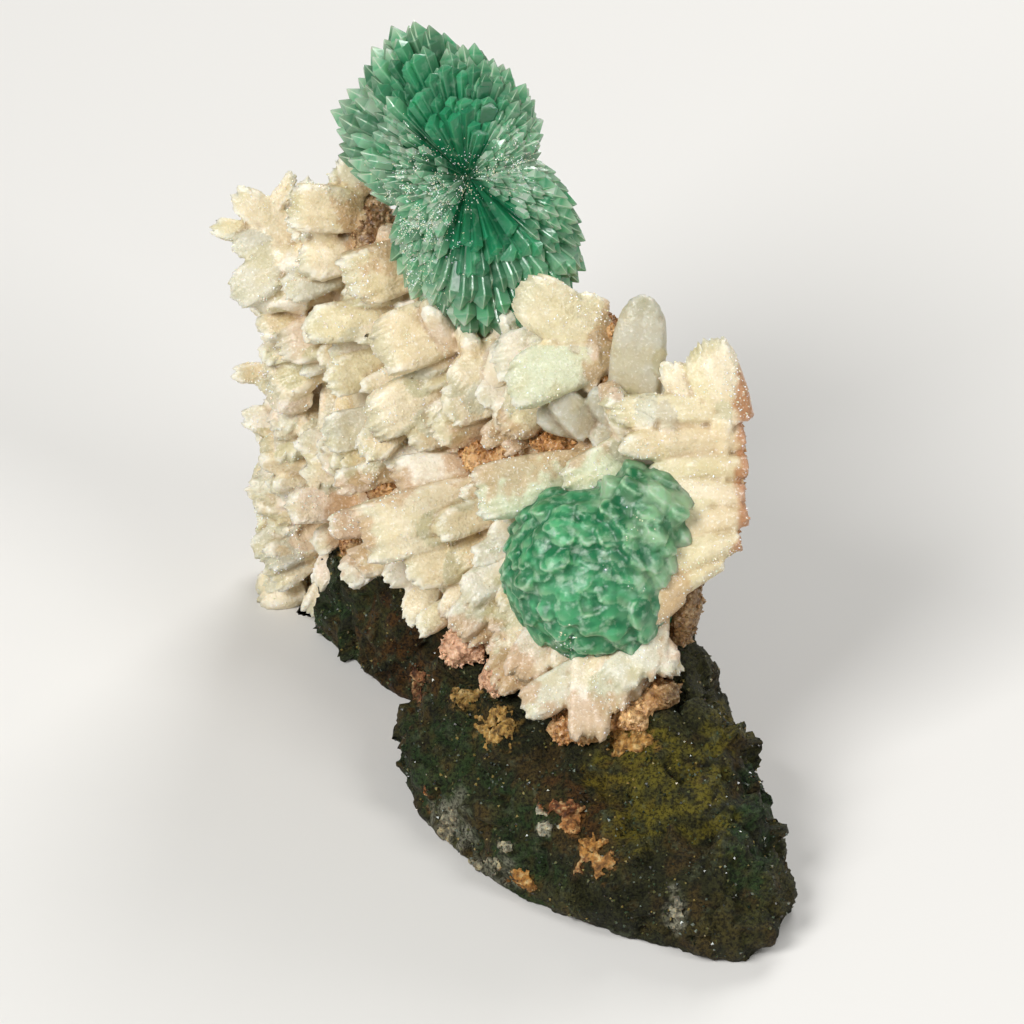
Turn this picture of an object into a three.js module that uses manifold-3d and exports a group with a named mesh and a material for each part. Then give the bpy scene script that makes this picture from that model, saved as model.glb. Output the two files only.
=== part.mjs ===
// Apophyllite cluster: two green apophyllite sprays on a wall of cream stilbite blades, which grew on a
// brown druse crust over a block of dark basalt. Millimetres, +Z up, the basalt standing on Z = 0.

import * as THREE from "three";
import { ImprovedNoise } from "three/addons/math/ImprovedNoise.js";
import { LoftGeometry } from "three/addons/geometries/LoftGeometry.js";
import { mergeVertices } from "three/addons/utils/BufferGeometryUtils.js";
import Module from "manifold-3d";

const wasm = await Module();
wasm.setup();

// Driving dimensions
const MID_HEIGHT = 50; // the height at which the wall's face is measured
const BOARD_LEAN = 35; // degrees that the layout board leans back from upright
const SEAM = 0.3; // clearance where one mineral sits in another
const BLADE_ROOT_DEPTH = 6; // how far a blade is rooted behind the wall's face
const BLADE_ROOT = 1.5; // how far a blade starts short of its root point
const BLADE_FLATNESS = 0.62; // a blade's thickness over its width
const BLADE_SIDES = 5;
const PRISM_ROOT = 0.3; // an apophyllite prism's width at the root over its full width
const PRISM_FLATNESS = 0.8; // a prism's thickness over its width
const WALL_STEPS = 12; // sections of the wall along X
const WALL_CLIMB = [0, 0.3, 0.6, 0.85, 1]; // levels of the wall's skin, as shares of its height
const CRUST_RIPPLE = { height: 1.5, length: 8 };
const GROUND_RIPPLE = { height: 1.2, length: 6 };
const CREST_SLUMP = 0.6; // how far the crest drops towards the back, over the wall's thickness
const LUMP_ROUGHNESS = 0.16; // how far a druse lump's corners stray, over its size
const LUMP_GRAIN = 2.2;
const LUMP_PROUD = 0.5; // how far a druse lump stands out of the wall's face
const HIDDEN_SPACING = 11; // between the blades that the layout board doesn't show
const ROCK_RIM_POINTS = 21;
const ROCK_GRAIN = { across: 6, up: 5 };
const SEED = 7;

// The wall along X. front is the face's Y at MID_HEIGHT, low and high its lean below and above that height,
// foot and crest the crust's lowest and highest Z, hem how far above the foot the stilbite starts, depth
// the wall's thickness, inset how far the crust lies behind the face, and ground how far the intergrown
// blades' common ground does.
const STATIONS = [
  { x: -38, front: 51, low: 0, high: 0, foot: 3, crest: 74, hem: 0, depth: 13, inset: 6.5, ground: 3.2 },
  { x: -35, front: 49, low: 0, high: 0, foot: 0, crest: 77, hem: 0, depth: 17, inset: 8, ground: 3.2 },
  { x: -31, front: 47, low: 0, high: 0.05, foot: 0, crest: 79, hem: 0, depth: 20, inset: 8, ground: 3.2 },
  { x: -25, front: 37, low: 0.45, high: 0.35, foot: 21, crest: 79, hem: 4, depth: 26, inset: 8, ground: 3.2 },
  { x: -18, front: 30.5, low: 0.69, high: 0.45, foot: 26, crest: 77, hem: 4, depth: 30, inset: 8, ground: 3.2 },
  { x: -12, front: 25, low: 0.9, high: 0.55, foot: 26, crest: 76, hem: 3.5, depth: 33, inset: 8, ground: 3.2 },
  { x: 0, front: 14, low: 1.15, high: 0.66, foot: 21.5, crest: 72, hem: 3, depth: 38, inset: 8, ground: 3.2 },
  { x: 13, front: -3, low: 0.97, high: 0.82, foot: 23, crest: 75, hem: 3, depth: 42, inset: 8, ground: 3.2 },
  { x: 19, front: -4, low: 0.9, high: 0.78, foot: 23, crest: 68, hem: 3, depth: 38, inset: 8, ground: 3.2 },
  { x: 25, front: -5, low: 0.85, high: 0.75, foot: 29, crest: 67, hem: 4, depth: 34, inset: 7, ground: 3.2 },
  { x: 29, front: -5, low: 0.8, high: 0.75, foot: 35, crest: 67, hem: 9, depth: 30, inset: 6, ground: 3.2 },
  { x: 33, front: -5, low: 0.75, high: 0.75, foot: 44, crest: 67, hem: 4, depth: 26, inset: 5, ground: 1.7 },
  { x: 38.5, front: -4, low: 0.75, high: 0.75, foot: 49, crest: 65.5, hem: 2, depth: 18, inset: 2, ground: 1.7 },
];

// Stilbite blades laid out on the board: root across, root rise, heading in degrees, length, width.
const BLADES = {
  leftTips: {
    lean: 8,
    raise: 0,
    rows: [
      [-41, 89, 167, 9, 4],
      [-37, 89.5, 141, 12, 6],
      [-41, 92, 56, 9.5, 4],
      [-33, 91, 62, 8, 6],
      [-37.5, 89.5, 196, 10, 5],
      [-35, 86.5, 214, 14.5, 7.6],
      [-37.5, 81, 232, 6.4, 5.2],
    ],
  },
  leftCrown: {
    lean: 24,
    raise: 1,
    rows: [
      [-25, 94, 176, 13.4, 8.2],
      [-27, 86.5, 195, 9.4, 7],
      [-29, 83.5, 203, 10.4, 6.2],
      [-24, 96.5, 121, 8, 4.4],
      [-26.5, 85.5, 59, 11.6, 5.4],
    ],
  },
  leftColumn: {
    lean: 14,
    raise: 1,
    rows: [
      [-30, 73.5, 197, 10, 7.6],
      [-34.7, 63, 283, 16.6, 4.6],
      [-22.7, 57.8, 192, 9.6, 7],
      [-25.3, 50.8, 158, 7.4, 6],
      [-20.3, 49.7, 192, 9.8, 5],
      [-34.5, 61, 219, 7.6, 6.6],
      [-33, 49.5, 195, 8, 6],
      [-27, 44.5, 182, 11.4, 6.4],
      [-33.5, 39.5, 205, 11, 7.6],
      [-33, 37, 216, 10.4, 5.8],
      [-29, 38, 249, 8.6, 4.6],
      [-35.7, 64.3, 252, 7.4, 3.8],
      [-30, 61.7, 270, 9, 4.4],
    ],
  },
  upperFace: {
    lean: 22,
    raise: 1,
    rows: [
      [-16, 85.5, 199, 13.4, 9.2],
      [-21.5, 76, 188, 13.6, 7.2],
      [-10.8, 74.2, 199, 13.8, 10.2],
      [-22, 67.3, 192, 9.8, 6.4],
      [-13, 64.3, 212, 13.8, 9.6],
      [-16.3, 61.7, 229, 13.8, 6.4],
      [-4, 58, 191, 9.6, 6.4],
      [7.7, 71, 195, 11.8, 7.2],
      [16.2, 70.3, 203, 19.4, 9.2],
      [-3, 69, 221, 9.4, 7.2],
      [-1.7, 62.8, 197, 11, 6.8],
      [5.8, 62, 219, 9.8, 7.8],
    ],
  },
  thumb: {
    lean: 24,
    raise: 2,
    rows: [
      [13.5, 72, 146, 15.5, 11.5],
    ],
  },
  clearTips: {
    lean: 18,
    raise: 2,
    rows: [
      [13, 56.3, 130, 9.4, 6.4],
      [21.2, 60.5, 84, 18.6, 9],
      [11.2, 57.3, 160, 7.6, 6.2],
    ],
  },
  rightFan: {
    lean: 8,
    raise: 4.5,
    broken: true,
    rows: [
      [36.4, 61.5, 110, 11, 7.8],
      [29.7, 61.3, 122, 7.8, 4.8],
      [33.6, 61.7, 109, 8.8, 6.2],
      [38.2, 60, 181, 18.2, 6],
      [38.2, 55.3, 184, 17.2, 6],
      [39, 51, 182, 11.4, 5.4],
      [38.8, 46.8, 177, 10.2, 5.2],
      [37.1, 39.7, 201, 13, 6.8],
      [33.9, 35.8, 211, 10.6, 6.2],
    ],
  },
  middleFace: {
    lean: 20,
    raise: 2,
    rows: [
      [10, 48.7, 193, 16.8, 9.6],
      [17.8, 52, 207, 10.8, 7.8],
      [-7.2, 50, 184, 13, 7.4],
      [-6.3, 44.3, 197, 20.8, 9.8],
      [-3, 43.7, 201, 11, 6.2],
      [-7.3, 35, 194, 11.4, 6.2],
      [-0.7, 34.5, 221, 9.8, 6.8],
      [-3, 30, 226, 10, 6.4],
    ],
  },
  skirt: {
    lean: 16,
    raise: 2.5,
    rows: [
      [5.8, 22, 239, 8.6, 7.4],
      [11.2, 15.3, 211, 11, 6.8],
      [13.7, 15.3, 270, 10.4, 6.6],
      [15.3, 17, 277, 7.6, 7.4],
      [22, 19.7, 228, 8.6, 6.8],
      [23.7, 24.7, 262, 10, 5.8],
    ],
  },
};

// Where the druse crust shows between the blades: across, rise, and half sizes across, up and out.
const DRUSE_PATCHES = [
  [-23, 91, 4.5, 6, 5],
  [16.8, 73, 2, 3.4, 4],
  [15.8, 66.5, 2.2, 4, 4],
  [-1.5, 52.5, 8.5, 4.6, 6],
  [8.5, 54.5, 5.5, 2.8, 5],
  [-27, 40, 3, 6.5, 5],
  [-21, 47, 4, 2.2, 4],
  [-7, 20.5, 5, 4.4, 5],
  [-0.5, 15.5, 5, 4.4, 5],
  [12, 7, 6.5, 4.2, 7],
  [20, 8.5, 5.5, 3.8, 7],
  [25.5, 12.5, 3.6, 3.4, 6],
  [28.5, 27, 3.2, 6.5, 5],
];

// Basalt blocks: the outline of the base, its centre, and the levels above it as height, share and shift.
const FRONT_BLOCK = {
  outline: [
    [45, -49], [46.5, -40], [44.5, -26], [41.5, -12], [37, 2], [29, 14], [14, 20], [-2, 17],
    [-14, 10], [-18.5, 0], [-18, -10], [-13, -19], [-2, -35], [15, -47], [28, -53], [39, -55.5],
  ],
  centre: [18, -12],
  levels: [
    [0, 0.97, 0, 0], [4, 1, 0, 0], [9, 0.96, -1, 1], [15, 0.87, -1, 4],
    [20, 0.75, -1, 9], [26, 0.6, -1.5, 16], [31, 0.38, -1.5, 21],
  ],
  roughness: 1.5,
};
const LEFT_BLOCK = {
  outline: [
    [-33, 38], [-27, 29], [-18, 19], [-5, 12], [8, 12], [20, 20],
    [22, 34], [12, 48], [-4, 57], [-20, 61], [-30, 57], [-28, 46],
  ],
  centre: [-3, 35],
  levels: [
    [0, 0.96, 0, 0], [4, 1, 0, 0], [10, 1, 0, 0], [18, 0.97, 0, 1],
    [27, 0.84, 3, 6], [38, 0.62, 4, 12], [47, 0.36, 6, 16],
  ],
  roughness: 1.3,
};

// Sprays: centre on the board as across, rise and out; reach gives the outline as heading and radius.
// Each tier of crystals has its tilt out of the spray's plane, number, width and share of the reach.
const UPPER_SPRAY = {
  centre: [-7, 98.8, 15],
  pitch: 10,
  pyramid: 0.8,
  reach: [
    [-156, 13], [-131, 19], [-110, 24], [-90, 29], [-68, 31], [-40, 27.5], [-20, 21.5],
    [4, 15], [18, 13], [35, 16], [60, 19], [86, 23.6], [100, 25.5], [114, 29.5],
    [128, 27], [139, 23], [151, 27], [172, 21.5], [188, 16.5],
  ],
  tiers: [
    { tilt: -54, count: 5, width: 7, share: 0.64 },
    { tilt: -28, count: 10, width: 6, share: 0.86 },
    { tilt: 0, count: 20, width: 4.8, share: 0.99 },
    { tilt: 24, count: 14, width: 5.4, share: 0.93 },
    { tilt: 48, count: 8, width: 6.2, share: 0.78 },
    { tilt: 74, count: 3, width: 7.5, share: 0.58 },
  ],
};
const LOWER_SPRAY = {
  centre: [14.5, 34.5, 28],
  pitch: 0,
  pyramid: 0.42,
  reach: [
    [14, 17], [36, 20.8], [63, 20.4], [86, 14.5], [108, 14], [126, 16],
    [149, 15.4], [190, 16], [218, 16.2], [250, 16.8], [280, 17.2], [306, 17], [341, 15],
  ],
  tiers: [
    { tilt: 4, count: 13, width: 7, share: 0.97 },
    { tilt: 30, count: 10, width: 7.6, share: 0.95 },
    { tilt: 60, count: 6, width: 8.4, share: 0.87 },
  ],
};

const COLOURS = {
  basalt: { color: 0x2b3026, roughness: 0.9 },
  druse: { color: 0xa0623a, roughness: 0.75 },
  stilbite: { color: 0xe6dcc0, roughness: 0.5 },
  apophyllite: { color: 0x3f9f74, roughness: 0.15 },
};

// ---- small tools

const noise = new ImprovedNoise();
const radians = THREE.MathUtils.degToRad;

function makeRandom(seed) {
  let state = seed;
  return (low, high) => {
    state = (state + 0x6d2b79f5) | 0;
    let t = Math.imul(state ^ (state >>> 15), 1 | state);
    t = (t + Math.imul(t ^ (t >>> 7), 61 | t)) ^ t;
    return low + ((((t ^ (t >>> 14)) >>> 0) / 4294967296) * (high - low));
  };
}

// A closed geometry as a solid that can be joined and cut.
function toSolid(geometry) {
  const bare = new THREE.BufferGeometry().setAttribute("position", geometry.attributes.position);
  bare.setIndex(geometry.index);
  const merged = mergeVertices(bare, 1e-4);
  const corners = merged.index.array;
  const faces = [];
  for (let i = 0; i < corners.length; i += 3) {
    const [a, b, c] = corners.subarray(i, i + 3);
    if (a !== b && b !== c && c !== a) faces.push(a, b, c);
  }
  return new wasm.Manifold(
    new wasm.Mesh({
      numProp: 3,
      vertProperties: new Float32Array(merged.attributes.position.array),
      triVerts: new Uint32Array(faces),
    }),
  );
}

// A skin through rings of points, closed at both ends by a fan about the end ring's middle.
function loftSolid(rings) {
  const gather = (ring) => {
    const middle = ring.reduce((sum, p) => sum.add(p), new THREE.Vector3()).divideScalar(ring.length);
    return ring.map(() => middle.clone());
  };
  return toSolid(new LoftGeometry([gather(rings[0]), ...rings, gather(rings[rings.length - 1])]));
}

function toGeometry(solid) {
  const mesh = solid.getMesh();
  const positions = new Float32Array(mesh.numVert * 3);
  for (let i = 0; i < mesh.numVert; i++) {
    positions.set(mesh.vertProperties.subarray(i * mesh.numProp, i * mesh.numProp + 3), i * 3);
  }
  const geometry = new THREE.BufferGeometry();
  geometry.setAttribute("position", new THREE.BufferAttribute(positions, 3));
  geometry.setIndex(new THREE.BufferAttribute(new Uint32Array(mesh.triVerts), 1));
  geometry.computeVertexNormals();
  return geometry;
}

// A cut can leave chips; the mineral is the largest piece.
function largestPiece(solid) {
  return solid.decompose().reduce((a, b) => (b.volume() > a.volume() ? b : a));
}

// The value at x on a line through points, straight between them.
function along(points, x) {
  const last = points.length - 1;
  if (x <= points[0][0]) return points[0][1];
  if (x >= points[last][0]) return points[last][1];
  const i = points.findIndex((p) => p[0] > x);
  const [x0, y0] = points[i - 1];
  const [x1, y1] = points[i];
  return THREE.MathUtils.mapLinear(x, x0, x1, y0, y1);
}

const stationValue = (key, x) => along(STATIONS.map((s) => [s.x, s[key]]), x);

// Y of the wall's face.
function faceY(x, z) {
  const lean = stationValue(z < MID_HEIGHT ? "low" : "high", x);
  return stationValue("front", x) + lean * (z - MID_HEIGHT);
}

// The layout board's directions: across is X, rise runs up the board and out is square to it.
const ACROSS = new THREE.Vector3(1, 0, 0);
const RISE = new THREE.Vector3(0, Math.sin(radians(BOARD_LEAN)), Math.cos(radians(BOARD_LEAN)));
const OUT = new THREE.Vector3().crossVectors(ACROSS, RISE);

const onBoard = (across, rise, out) =>
  new THREE.Vector3().addScaledVector(ACROSS, across).addScaledVector(RISE, rise).addScaledVector(OUT, out);

// The point of the wall's face that lies square behind a point of the board.
function onFace(across, rise) {
  const middleRise = stationValue("front", across) * RISE.y + MID_HEIGHT * RISE.z;
  const lean = stationValue(rise < middleRise ? "low" : "high", across);
  const z = MID_HEIGHT + (rise - middleRise) / (RISE.z + lean * RISE.y);
  return new THREE.Vector3(across, faceY(across, z), z);
}

// ---- crystals

const latheShape = (profile, sides) =>
  new THREE.LatheGeometry(profile.map(([radius, y]) => new THREE.Vector2(radius, y)), sides);

// A stilbite blade from y = 0 to its length: it swells from the root and closes in a blunt wedge.
function bladeGeometry(length, width, broken) {
  const half = width / 2;
  const root = broken ? [[0, 0], [0.8 * half, 0]] : [[0, 0]];
  const profile = [...root, [half, 0.5 * length], [0.7 * half, 0.88 * length], [0, length]];
  return latheShape(profile, BLADE_SIDES).scale(1, 1, BLADE_FLATNESS);
}

// An apophyllite prism: four sides that widen from the root, closed by a four-sided pyramid.
function prismGeometry(length, width, pyramid) {
  const corner = width / Math.SQRT2;
  const profile = [[0, 0], [PRISM_ROOT * corner, 0], [corner, length - pyramid * width], [0, length]];
  return latheShape(profile, 4).rotateY(Math.PI / 4).scale(1, 1, PRISM_FLATNESS);
}

// Stands a crystal at root, along direction, its broad side facing one way and rolled about its own axis.
function stand(geometry, root, direction, facing, roll) {
  const y = direction.clone().normalize();
  const x = new THREE.Vector3().crossVectors(y, facing).normalize();
  const z = new THREE.Vector3().crossVectors(x, y);
  const placed = geometry.rotateY(roll).applyMatrix4(new THREE.Matrix4().makeBasis(x, y, z));
  return placed.translate(root.x, root.y, root.z);
}

function boardDirection(heading, lean) {
  const flat = Math.cos(radians(lean));
  return onBoard(
    flat * Math.cos(radians(heading)), flat * Math.sin(radians(heading)), Math.sin(radians(lean)),
  );
}

// The blades of one group that was laid out on the board.
function boardBlades({ lean, raise, broken, rows }, grow) {
  const random = makeRandom(SEED + rows.length);
  return rows.map(([across, rise, heading, length, width]) => {
    const root = onFace(across, rise).addScaledVector(OUT, raise - BLADE_ROOT_DEPTH);
    const direction = boardDirection(heading, lean + random(-6, 6));
    root.addScaledVector(direction, -BLADE_ROOT);
    const blade = bladeGeometry(length + BLADE_ROOT + grow, width + 2 * grow, broken);
    return toSolid(stand(blade, root, direction, OUT, random(-0.5, 0.5)));
  });
}

// ---- the wall's lofted bodies

// A loft along X between two depths behind the wall's face. Each ring goes up the front and down the back.
// A positive grow moves the whole skin outwards: the leaning faces need more than grow along Y and Z to
// keep that distance square to themselves.
function wallLoft({ front, back, hem, slump, grow }) {
  const stop = STATIONS[STATIONS.length - 1].x;
  const rings = Array.from({ length: WALL_STEPS + 1 }, (_, i) => {
    const x = THREE.MathUtils.lerp(STATIONS[0].x, stop, i / WALL_STEPS);
    const end = 2 * grow * (i === 0 ? -1 : i === WALL_STEPS ? 1 : 0);
    const foot = stationValue("foot", x) + hem(x);
    const crest = stationValue("crest", x);
    const point = (share, setBack, outward) => {
      const z = THREE.MathUtils.lerp(foot, crest - slump(x) * (outward > 0 ? 1 : 0), share);
      const grownZ = z + THREE.MathUtils.lerp(-4 * grow, 3 * grow, share);
      return new THREE.Vector3(x + end, faceY(x, grownZ) + setBack(x, z) + 2.5 * grow * outward, grownZ);
    };
    const up = WALL_CLIMB.map((share) => point(share, front, -1));
    const down = WALL_CLIMB.toReversed().map((share) => point(share, back, 1));
    return [...up, ...down];
  });
  return loftSolid(rings.map((ring) => ring.reverse()));
}

const ripple = ({ height, length }, x, z, seed) => height * noise.noise(x / length, z / length, seed);

// Where the stilbite ends and the druse crust begins, behind the face.
const crustFront = (x, z) => stationValue("inset", x) + ripple(CRUST_RIPPLE, x, z, 3.5);

// A rough lump: a faceted ball stretched to its half sizes along the board's directions.
function lump([across, rise, halfAcross, halfUp, halfOut], grow) {
  const ball = new THREE.DodecahedronGeometry(1);
  const positions = ball.attributes.position;
  const p = new THREE.Vector3();
  for (let i = 0; i < positions.count; i++) {
    p.fromBufferAttribute(positions, i);
    const grain = p.clone().multiplyScalar(LUMP_GRAIN);
    p.multiplyScalar(1 + LUMP_ROUGHNESS * noise.noise(grain.x + across, grain.y + rise, grain.z));
    positions.setXYZ(i, p.x, p.y, p.z);
  }
  const basis = new THREE.Matrix4().makeBasis(
    ACROSS.clone().multiplyScalar(halfAcross + grow),
    RISE.clone().multiplyScalar(halfUp + grow),
    OUT.clone().multiplyScalar(halfOut + grow),
  );
  const centre = onFace(across, rise).addScaledVector(OUT, LUMP_PROUD - halfOut);
  return toSolid(ball.applyMatrix4(basis).translate(centre.x, centre.y, centre.z));
}

function druseCrust(grow) {
  const wall = wallLoft({
    front: crustFront,
    back: (x) => stationValue("depth", x),
    hem: () => 0,
    slump: (x) => CREST_SLUMP * stationValue("depth", x),
    grow,
  });
  return wasm.Manifold.union([wall, ...DRUSE_PATCHES.map((patch) => lump(patch, grow))]);
}

function stilbiteGround() {
  return wallLoft({
    front: (x, z) => stationValue("ground", x) + ripple(GROUND_RIPPLE, x, z, 8.5),
    back: (x, z) => crustFront(x, z) - SEAM,
    hem: (x) => stationValue("hem", x),
    slump: () => 0,
    grow: 0,
  });
}

// Blades where the board doesn't show them: along the wall's left end and behind its crest.
function hiddenBlades() {
  const random = makeRandom(SEED + 1);
  const blades = [];
  const add = (root, direction, length, width) => {
    const facing = Math.abs(direction.z) > 0.9 ? ACROSS : new THREE.Vector3(0, 0, 1);
    const blade = bladeGeometry(length, width, false);
    blades.push(toSolid(stand(blade, root, direction, facing, random(-0.8, 0.8))));
  };
  const endX = STATIONS[0].x + 4;
  for (let z = 6; z < STATIONS[0].crest; z += HIDDEN_SPACING) {
    const direction = new THREE.Vector3(-1, random(-0.1, 0.5), random(-0.5, 0.4));
    const root = new THREE.Vector3(endX, faceY(endX, z) + BLADE_ROOT_DEPTH - BLADE_ROOT, z);
    add(root, direction, random(6, 8), random(6, 8));
  }
  for (let x = -32; x <= 36; x += HIDDEN_SPACING) {
    const z = stationValue("crest", x) - BLADE_ROOT_DEPTH;
    const direction = new THREE.Vector3(random(-0.4, 0.4), random(0.1, 0.6), 1);
    const root = new THREE.Vector3(x, faceY(x, z) + BLADE_ROOT_DEPTH - 1, z);
    add(root, direction, random(8, 10), random(6, 8));
  }
  return blades;
}

// ---- basalt

const rockNoise = (p, z) =>
  noise.noise(p.x / ROCK_GRAIN.across, p.y / ROCK_GRAIN.across, z / ROCK_GRAIN.up);

function rockBlock({ outline, centre, levels, roughness }, grow) {
  const points = outline.map(([x, y]) => new THREE.Vector3(x, y, 0));
  const curve = new THREE.CatmullRomCurve3(points, true, "catmullrom", 0.25);
  const rim = curve.getSpacedPoints(ROCK_RIM_POINTS + 1).slice(0, -1);
  const area = THREE.ShapeUtils.area(rim.map((p) => new THREE.Vector2(p.x, p.y)));
  if (area < 0) rim.reverse();
  const middle = new THREE.Vector3(centre[0], centre[1], 0);
  const rings = levels.map(([z, share, shiftX, shiftY], level) =>
    rim.map((p) => {
      const spoke = p.clone().sub(middle);
      const rough = roughness * rockNoise(p, z + roughness);
      spoke.setLength(spoke.length() * share + rough + grow);
      const lift = level === 0 ? -grow : grow;
      return spoke.add(new THREE.Vector3(centre[0] + shiftX, centre[1] + shiftY, z + lift));
    }),
  );
  return loftSolid(rings);
}

const basalt = (grow) => rockBlock(FRONT_BLOCK, grow).add(rockBlock(LEFT_BLOCK, grow));

// ---- apophyllite

function spray({ centre, pitch, pyramid, reach, tiers }, grow) {
  const random = makeRandom(SEED + tiers.length);
  const origin = onBoard(...centre);
  const swing = new THREE.Matrix4().makeRotationAxis(ACROSS, radians(pitch));
  const wrapped = [-360, 0, 360].flatMap((turn) => reach.map(([h, radius]) => [h + turn, radius]));
  const crystals = tiers.flatMap(({ tilt, count, width, share }, tier) =>
    Array.from({ length: count }, (_, i) => {
      const heading = ((i + (tier % 2) / 2 + random(-0.12, 0.12)) * 360) / count - 180;
      const length = along(wrapped, heading) * share * random(0.95, 1.03);
      const direction = boardDirection(heading, tilt + random(-5, 5)).applyMatrix4(swing);
      const prism = prismGeometry(length + grow, width * random(0.9, 1.12) + 2 * grow, pyramid);
      return toSolid(stand(prism, origin, direction, tilt > 60 ? RISE : OUT, random(-0.2, 0.2)));
    }),
  );
  return wasm.Manifold.union(crystals);
}

// ---- the specimen

const { thumb, ...groundedBlades } = BLADES;
const matrixRoom = basalt(SEAM).add(druseCrust(SEAM));
const thumbRoom = boardBlades(thumb, SEAM);
const upperSpray = wasm.Manifold.difference([spray(UPPER_SPRAY, 0), matrixRoom, ...thumbRoom]);
const lowerSpray = spray(LOWER_SPRAY, 0).subtract(matrixRoom);
const blades = Object.values(groundedBlades).flatMap((group) => boardBlades(group, 0));
const grown = wasm.Manifold.union([stilbiteGround(), ...blades, ...hiddenBlades()]);
const stilbite = wasm.Manifold.difference([
  grown.subtract(spray(UPPER_SPRAY, SEAM)).add(wasm.Manifold.union(boardBlades(thumb, 0))),
  matrixRoom,
  spray(LOWER_SPRAY, SEAM),
]);
const rock = basalt(0);
const crust = druseCrust(0).subtract(basalt(SEAM));

const specimen = new THREE.Group();
for (const [name, solid, look] of [
  ["basalt_matrix", rock, COLOURS.basalt],
  ["druse_crust", crust, COLOURS.druse],
  ["stilbite_crystals", stilbite, COLOURS.stilbite],
  ["apophyllite_upper_spray", upperSpray, COLOURS.apophyllite],
  ["apophyllite_lower_spray", lowerSpray, COLOURS.apophyllite],
]) {
  const mesh = new THREE.Mesh(toGeometry(largestPiece(solid)), new THREE.MeshStandardMaterial(look));
  mesh.name = name;
  specimen.add(mesh);
}

// The origin is the middle of the specimen's own bounding box, on the surface that it stands on.
const middle = new THREE.Box3().setFromObject(specimen, true).getCenter(new THREE.Vector3());
specimen.position.set(-middle.x, -middle.y, 0);

export default specimen;
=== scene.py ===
"""Apophyllite cluster: green apophyllite sprays on cream stilbite, brown druse and dark basalt.

Lengths are in millimetres in the cluster's own axes until a mesh is handed over in metres.
"""

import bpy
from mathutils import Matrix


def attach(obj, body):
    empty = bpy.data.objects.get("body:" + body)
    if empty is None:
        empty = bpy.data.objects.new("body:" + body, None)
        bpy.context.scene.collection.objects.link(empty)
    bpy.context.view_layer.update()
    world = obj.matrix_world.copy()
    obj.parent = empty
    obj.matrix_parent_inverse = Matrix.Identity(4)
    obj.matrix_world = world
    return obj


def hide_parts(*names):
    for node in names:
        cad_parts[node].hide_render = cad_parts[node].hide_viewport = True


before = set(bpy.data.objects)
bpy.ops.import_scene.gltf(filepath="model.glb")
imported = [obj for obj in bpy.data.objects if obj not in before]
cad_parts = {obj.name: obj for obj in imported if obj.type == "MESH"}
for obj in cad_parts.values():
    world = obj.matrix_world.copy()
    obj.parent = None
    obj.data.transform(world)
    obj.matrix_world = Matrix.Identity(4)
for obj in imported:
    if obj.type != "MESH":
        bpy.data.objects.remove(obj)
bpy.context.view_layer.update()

import logging
import math
from dataclasses import dataclass, field
from enum import Enum
from typing import Callable, Iterable, Sequence

import bpy
import numpy as np
from mathutils import Matrix, Vector
from mathutils.bvhtree import BVHTree

Array = np.ndarray
Draws = np.random.Generator
Faces = list[list[int]]
Solid = tuple[Array, Faces]
Piece = bpy.types.Object
Material = bpy.types.Material

LOG = logging.getLogger("apophyllite_cluster")
MM = 0.001
ROW_ORIGIN = np.array([1.6249, -5.8259, 0.0])  # where the cluster's own axes start in the row's frame
ROOT_BODY = "root"


# ---- number tools


def unit(vectors: Array) -> Array:
    """Scales a vector, or one in each row, to length one."""
    length = np.linalg.norm(vectors, axis=-1, keepdims=True)
    return vectors / np.maximum(length, 1e-9)


def smooth(low: float, high: float, value: Array) -> Array:
    """Eases from 0 at low to 1 at high, also where low is the greater one."""
    share = np.clip((value - low) / (high - low), 0.0, 1.0)
    return share * share * (3.0 - 2.0 * share)


def mix(first: Array, second: Array, share: Array) -> Array:
    """Blends two colours, or two rows of them, by one share for each row."""
    share = np.asarray(share)[..., None]
    return np.asarray(first) * (1.0 - share) + np.asarray(second) * share


def linear(code: str) -> Array:
    """Turns a six-digit colour code into linear red, green and blue."""
    part = np.array([int(code[i : i + 2], 16) / 255.0 for i in (0, 2, 4)])
    return np.where(part <= 0.04045, part / 12.92, ((part + 0.055) / 1.055) ** 2.4)


class Shade(Enum):
    """Named colours, as six-digit codes."""

    @property
    def colour(self) -> Array:
        """The shade as linear red, green and blue."""
        return linear(self.value)


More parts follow.
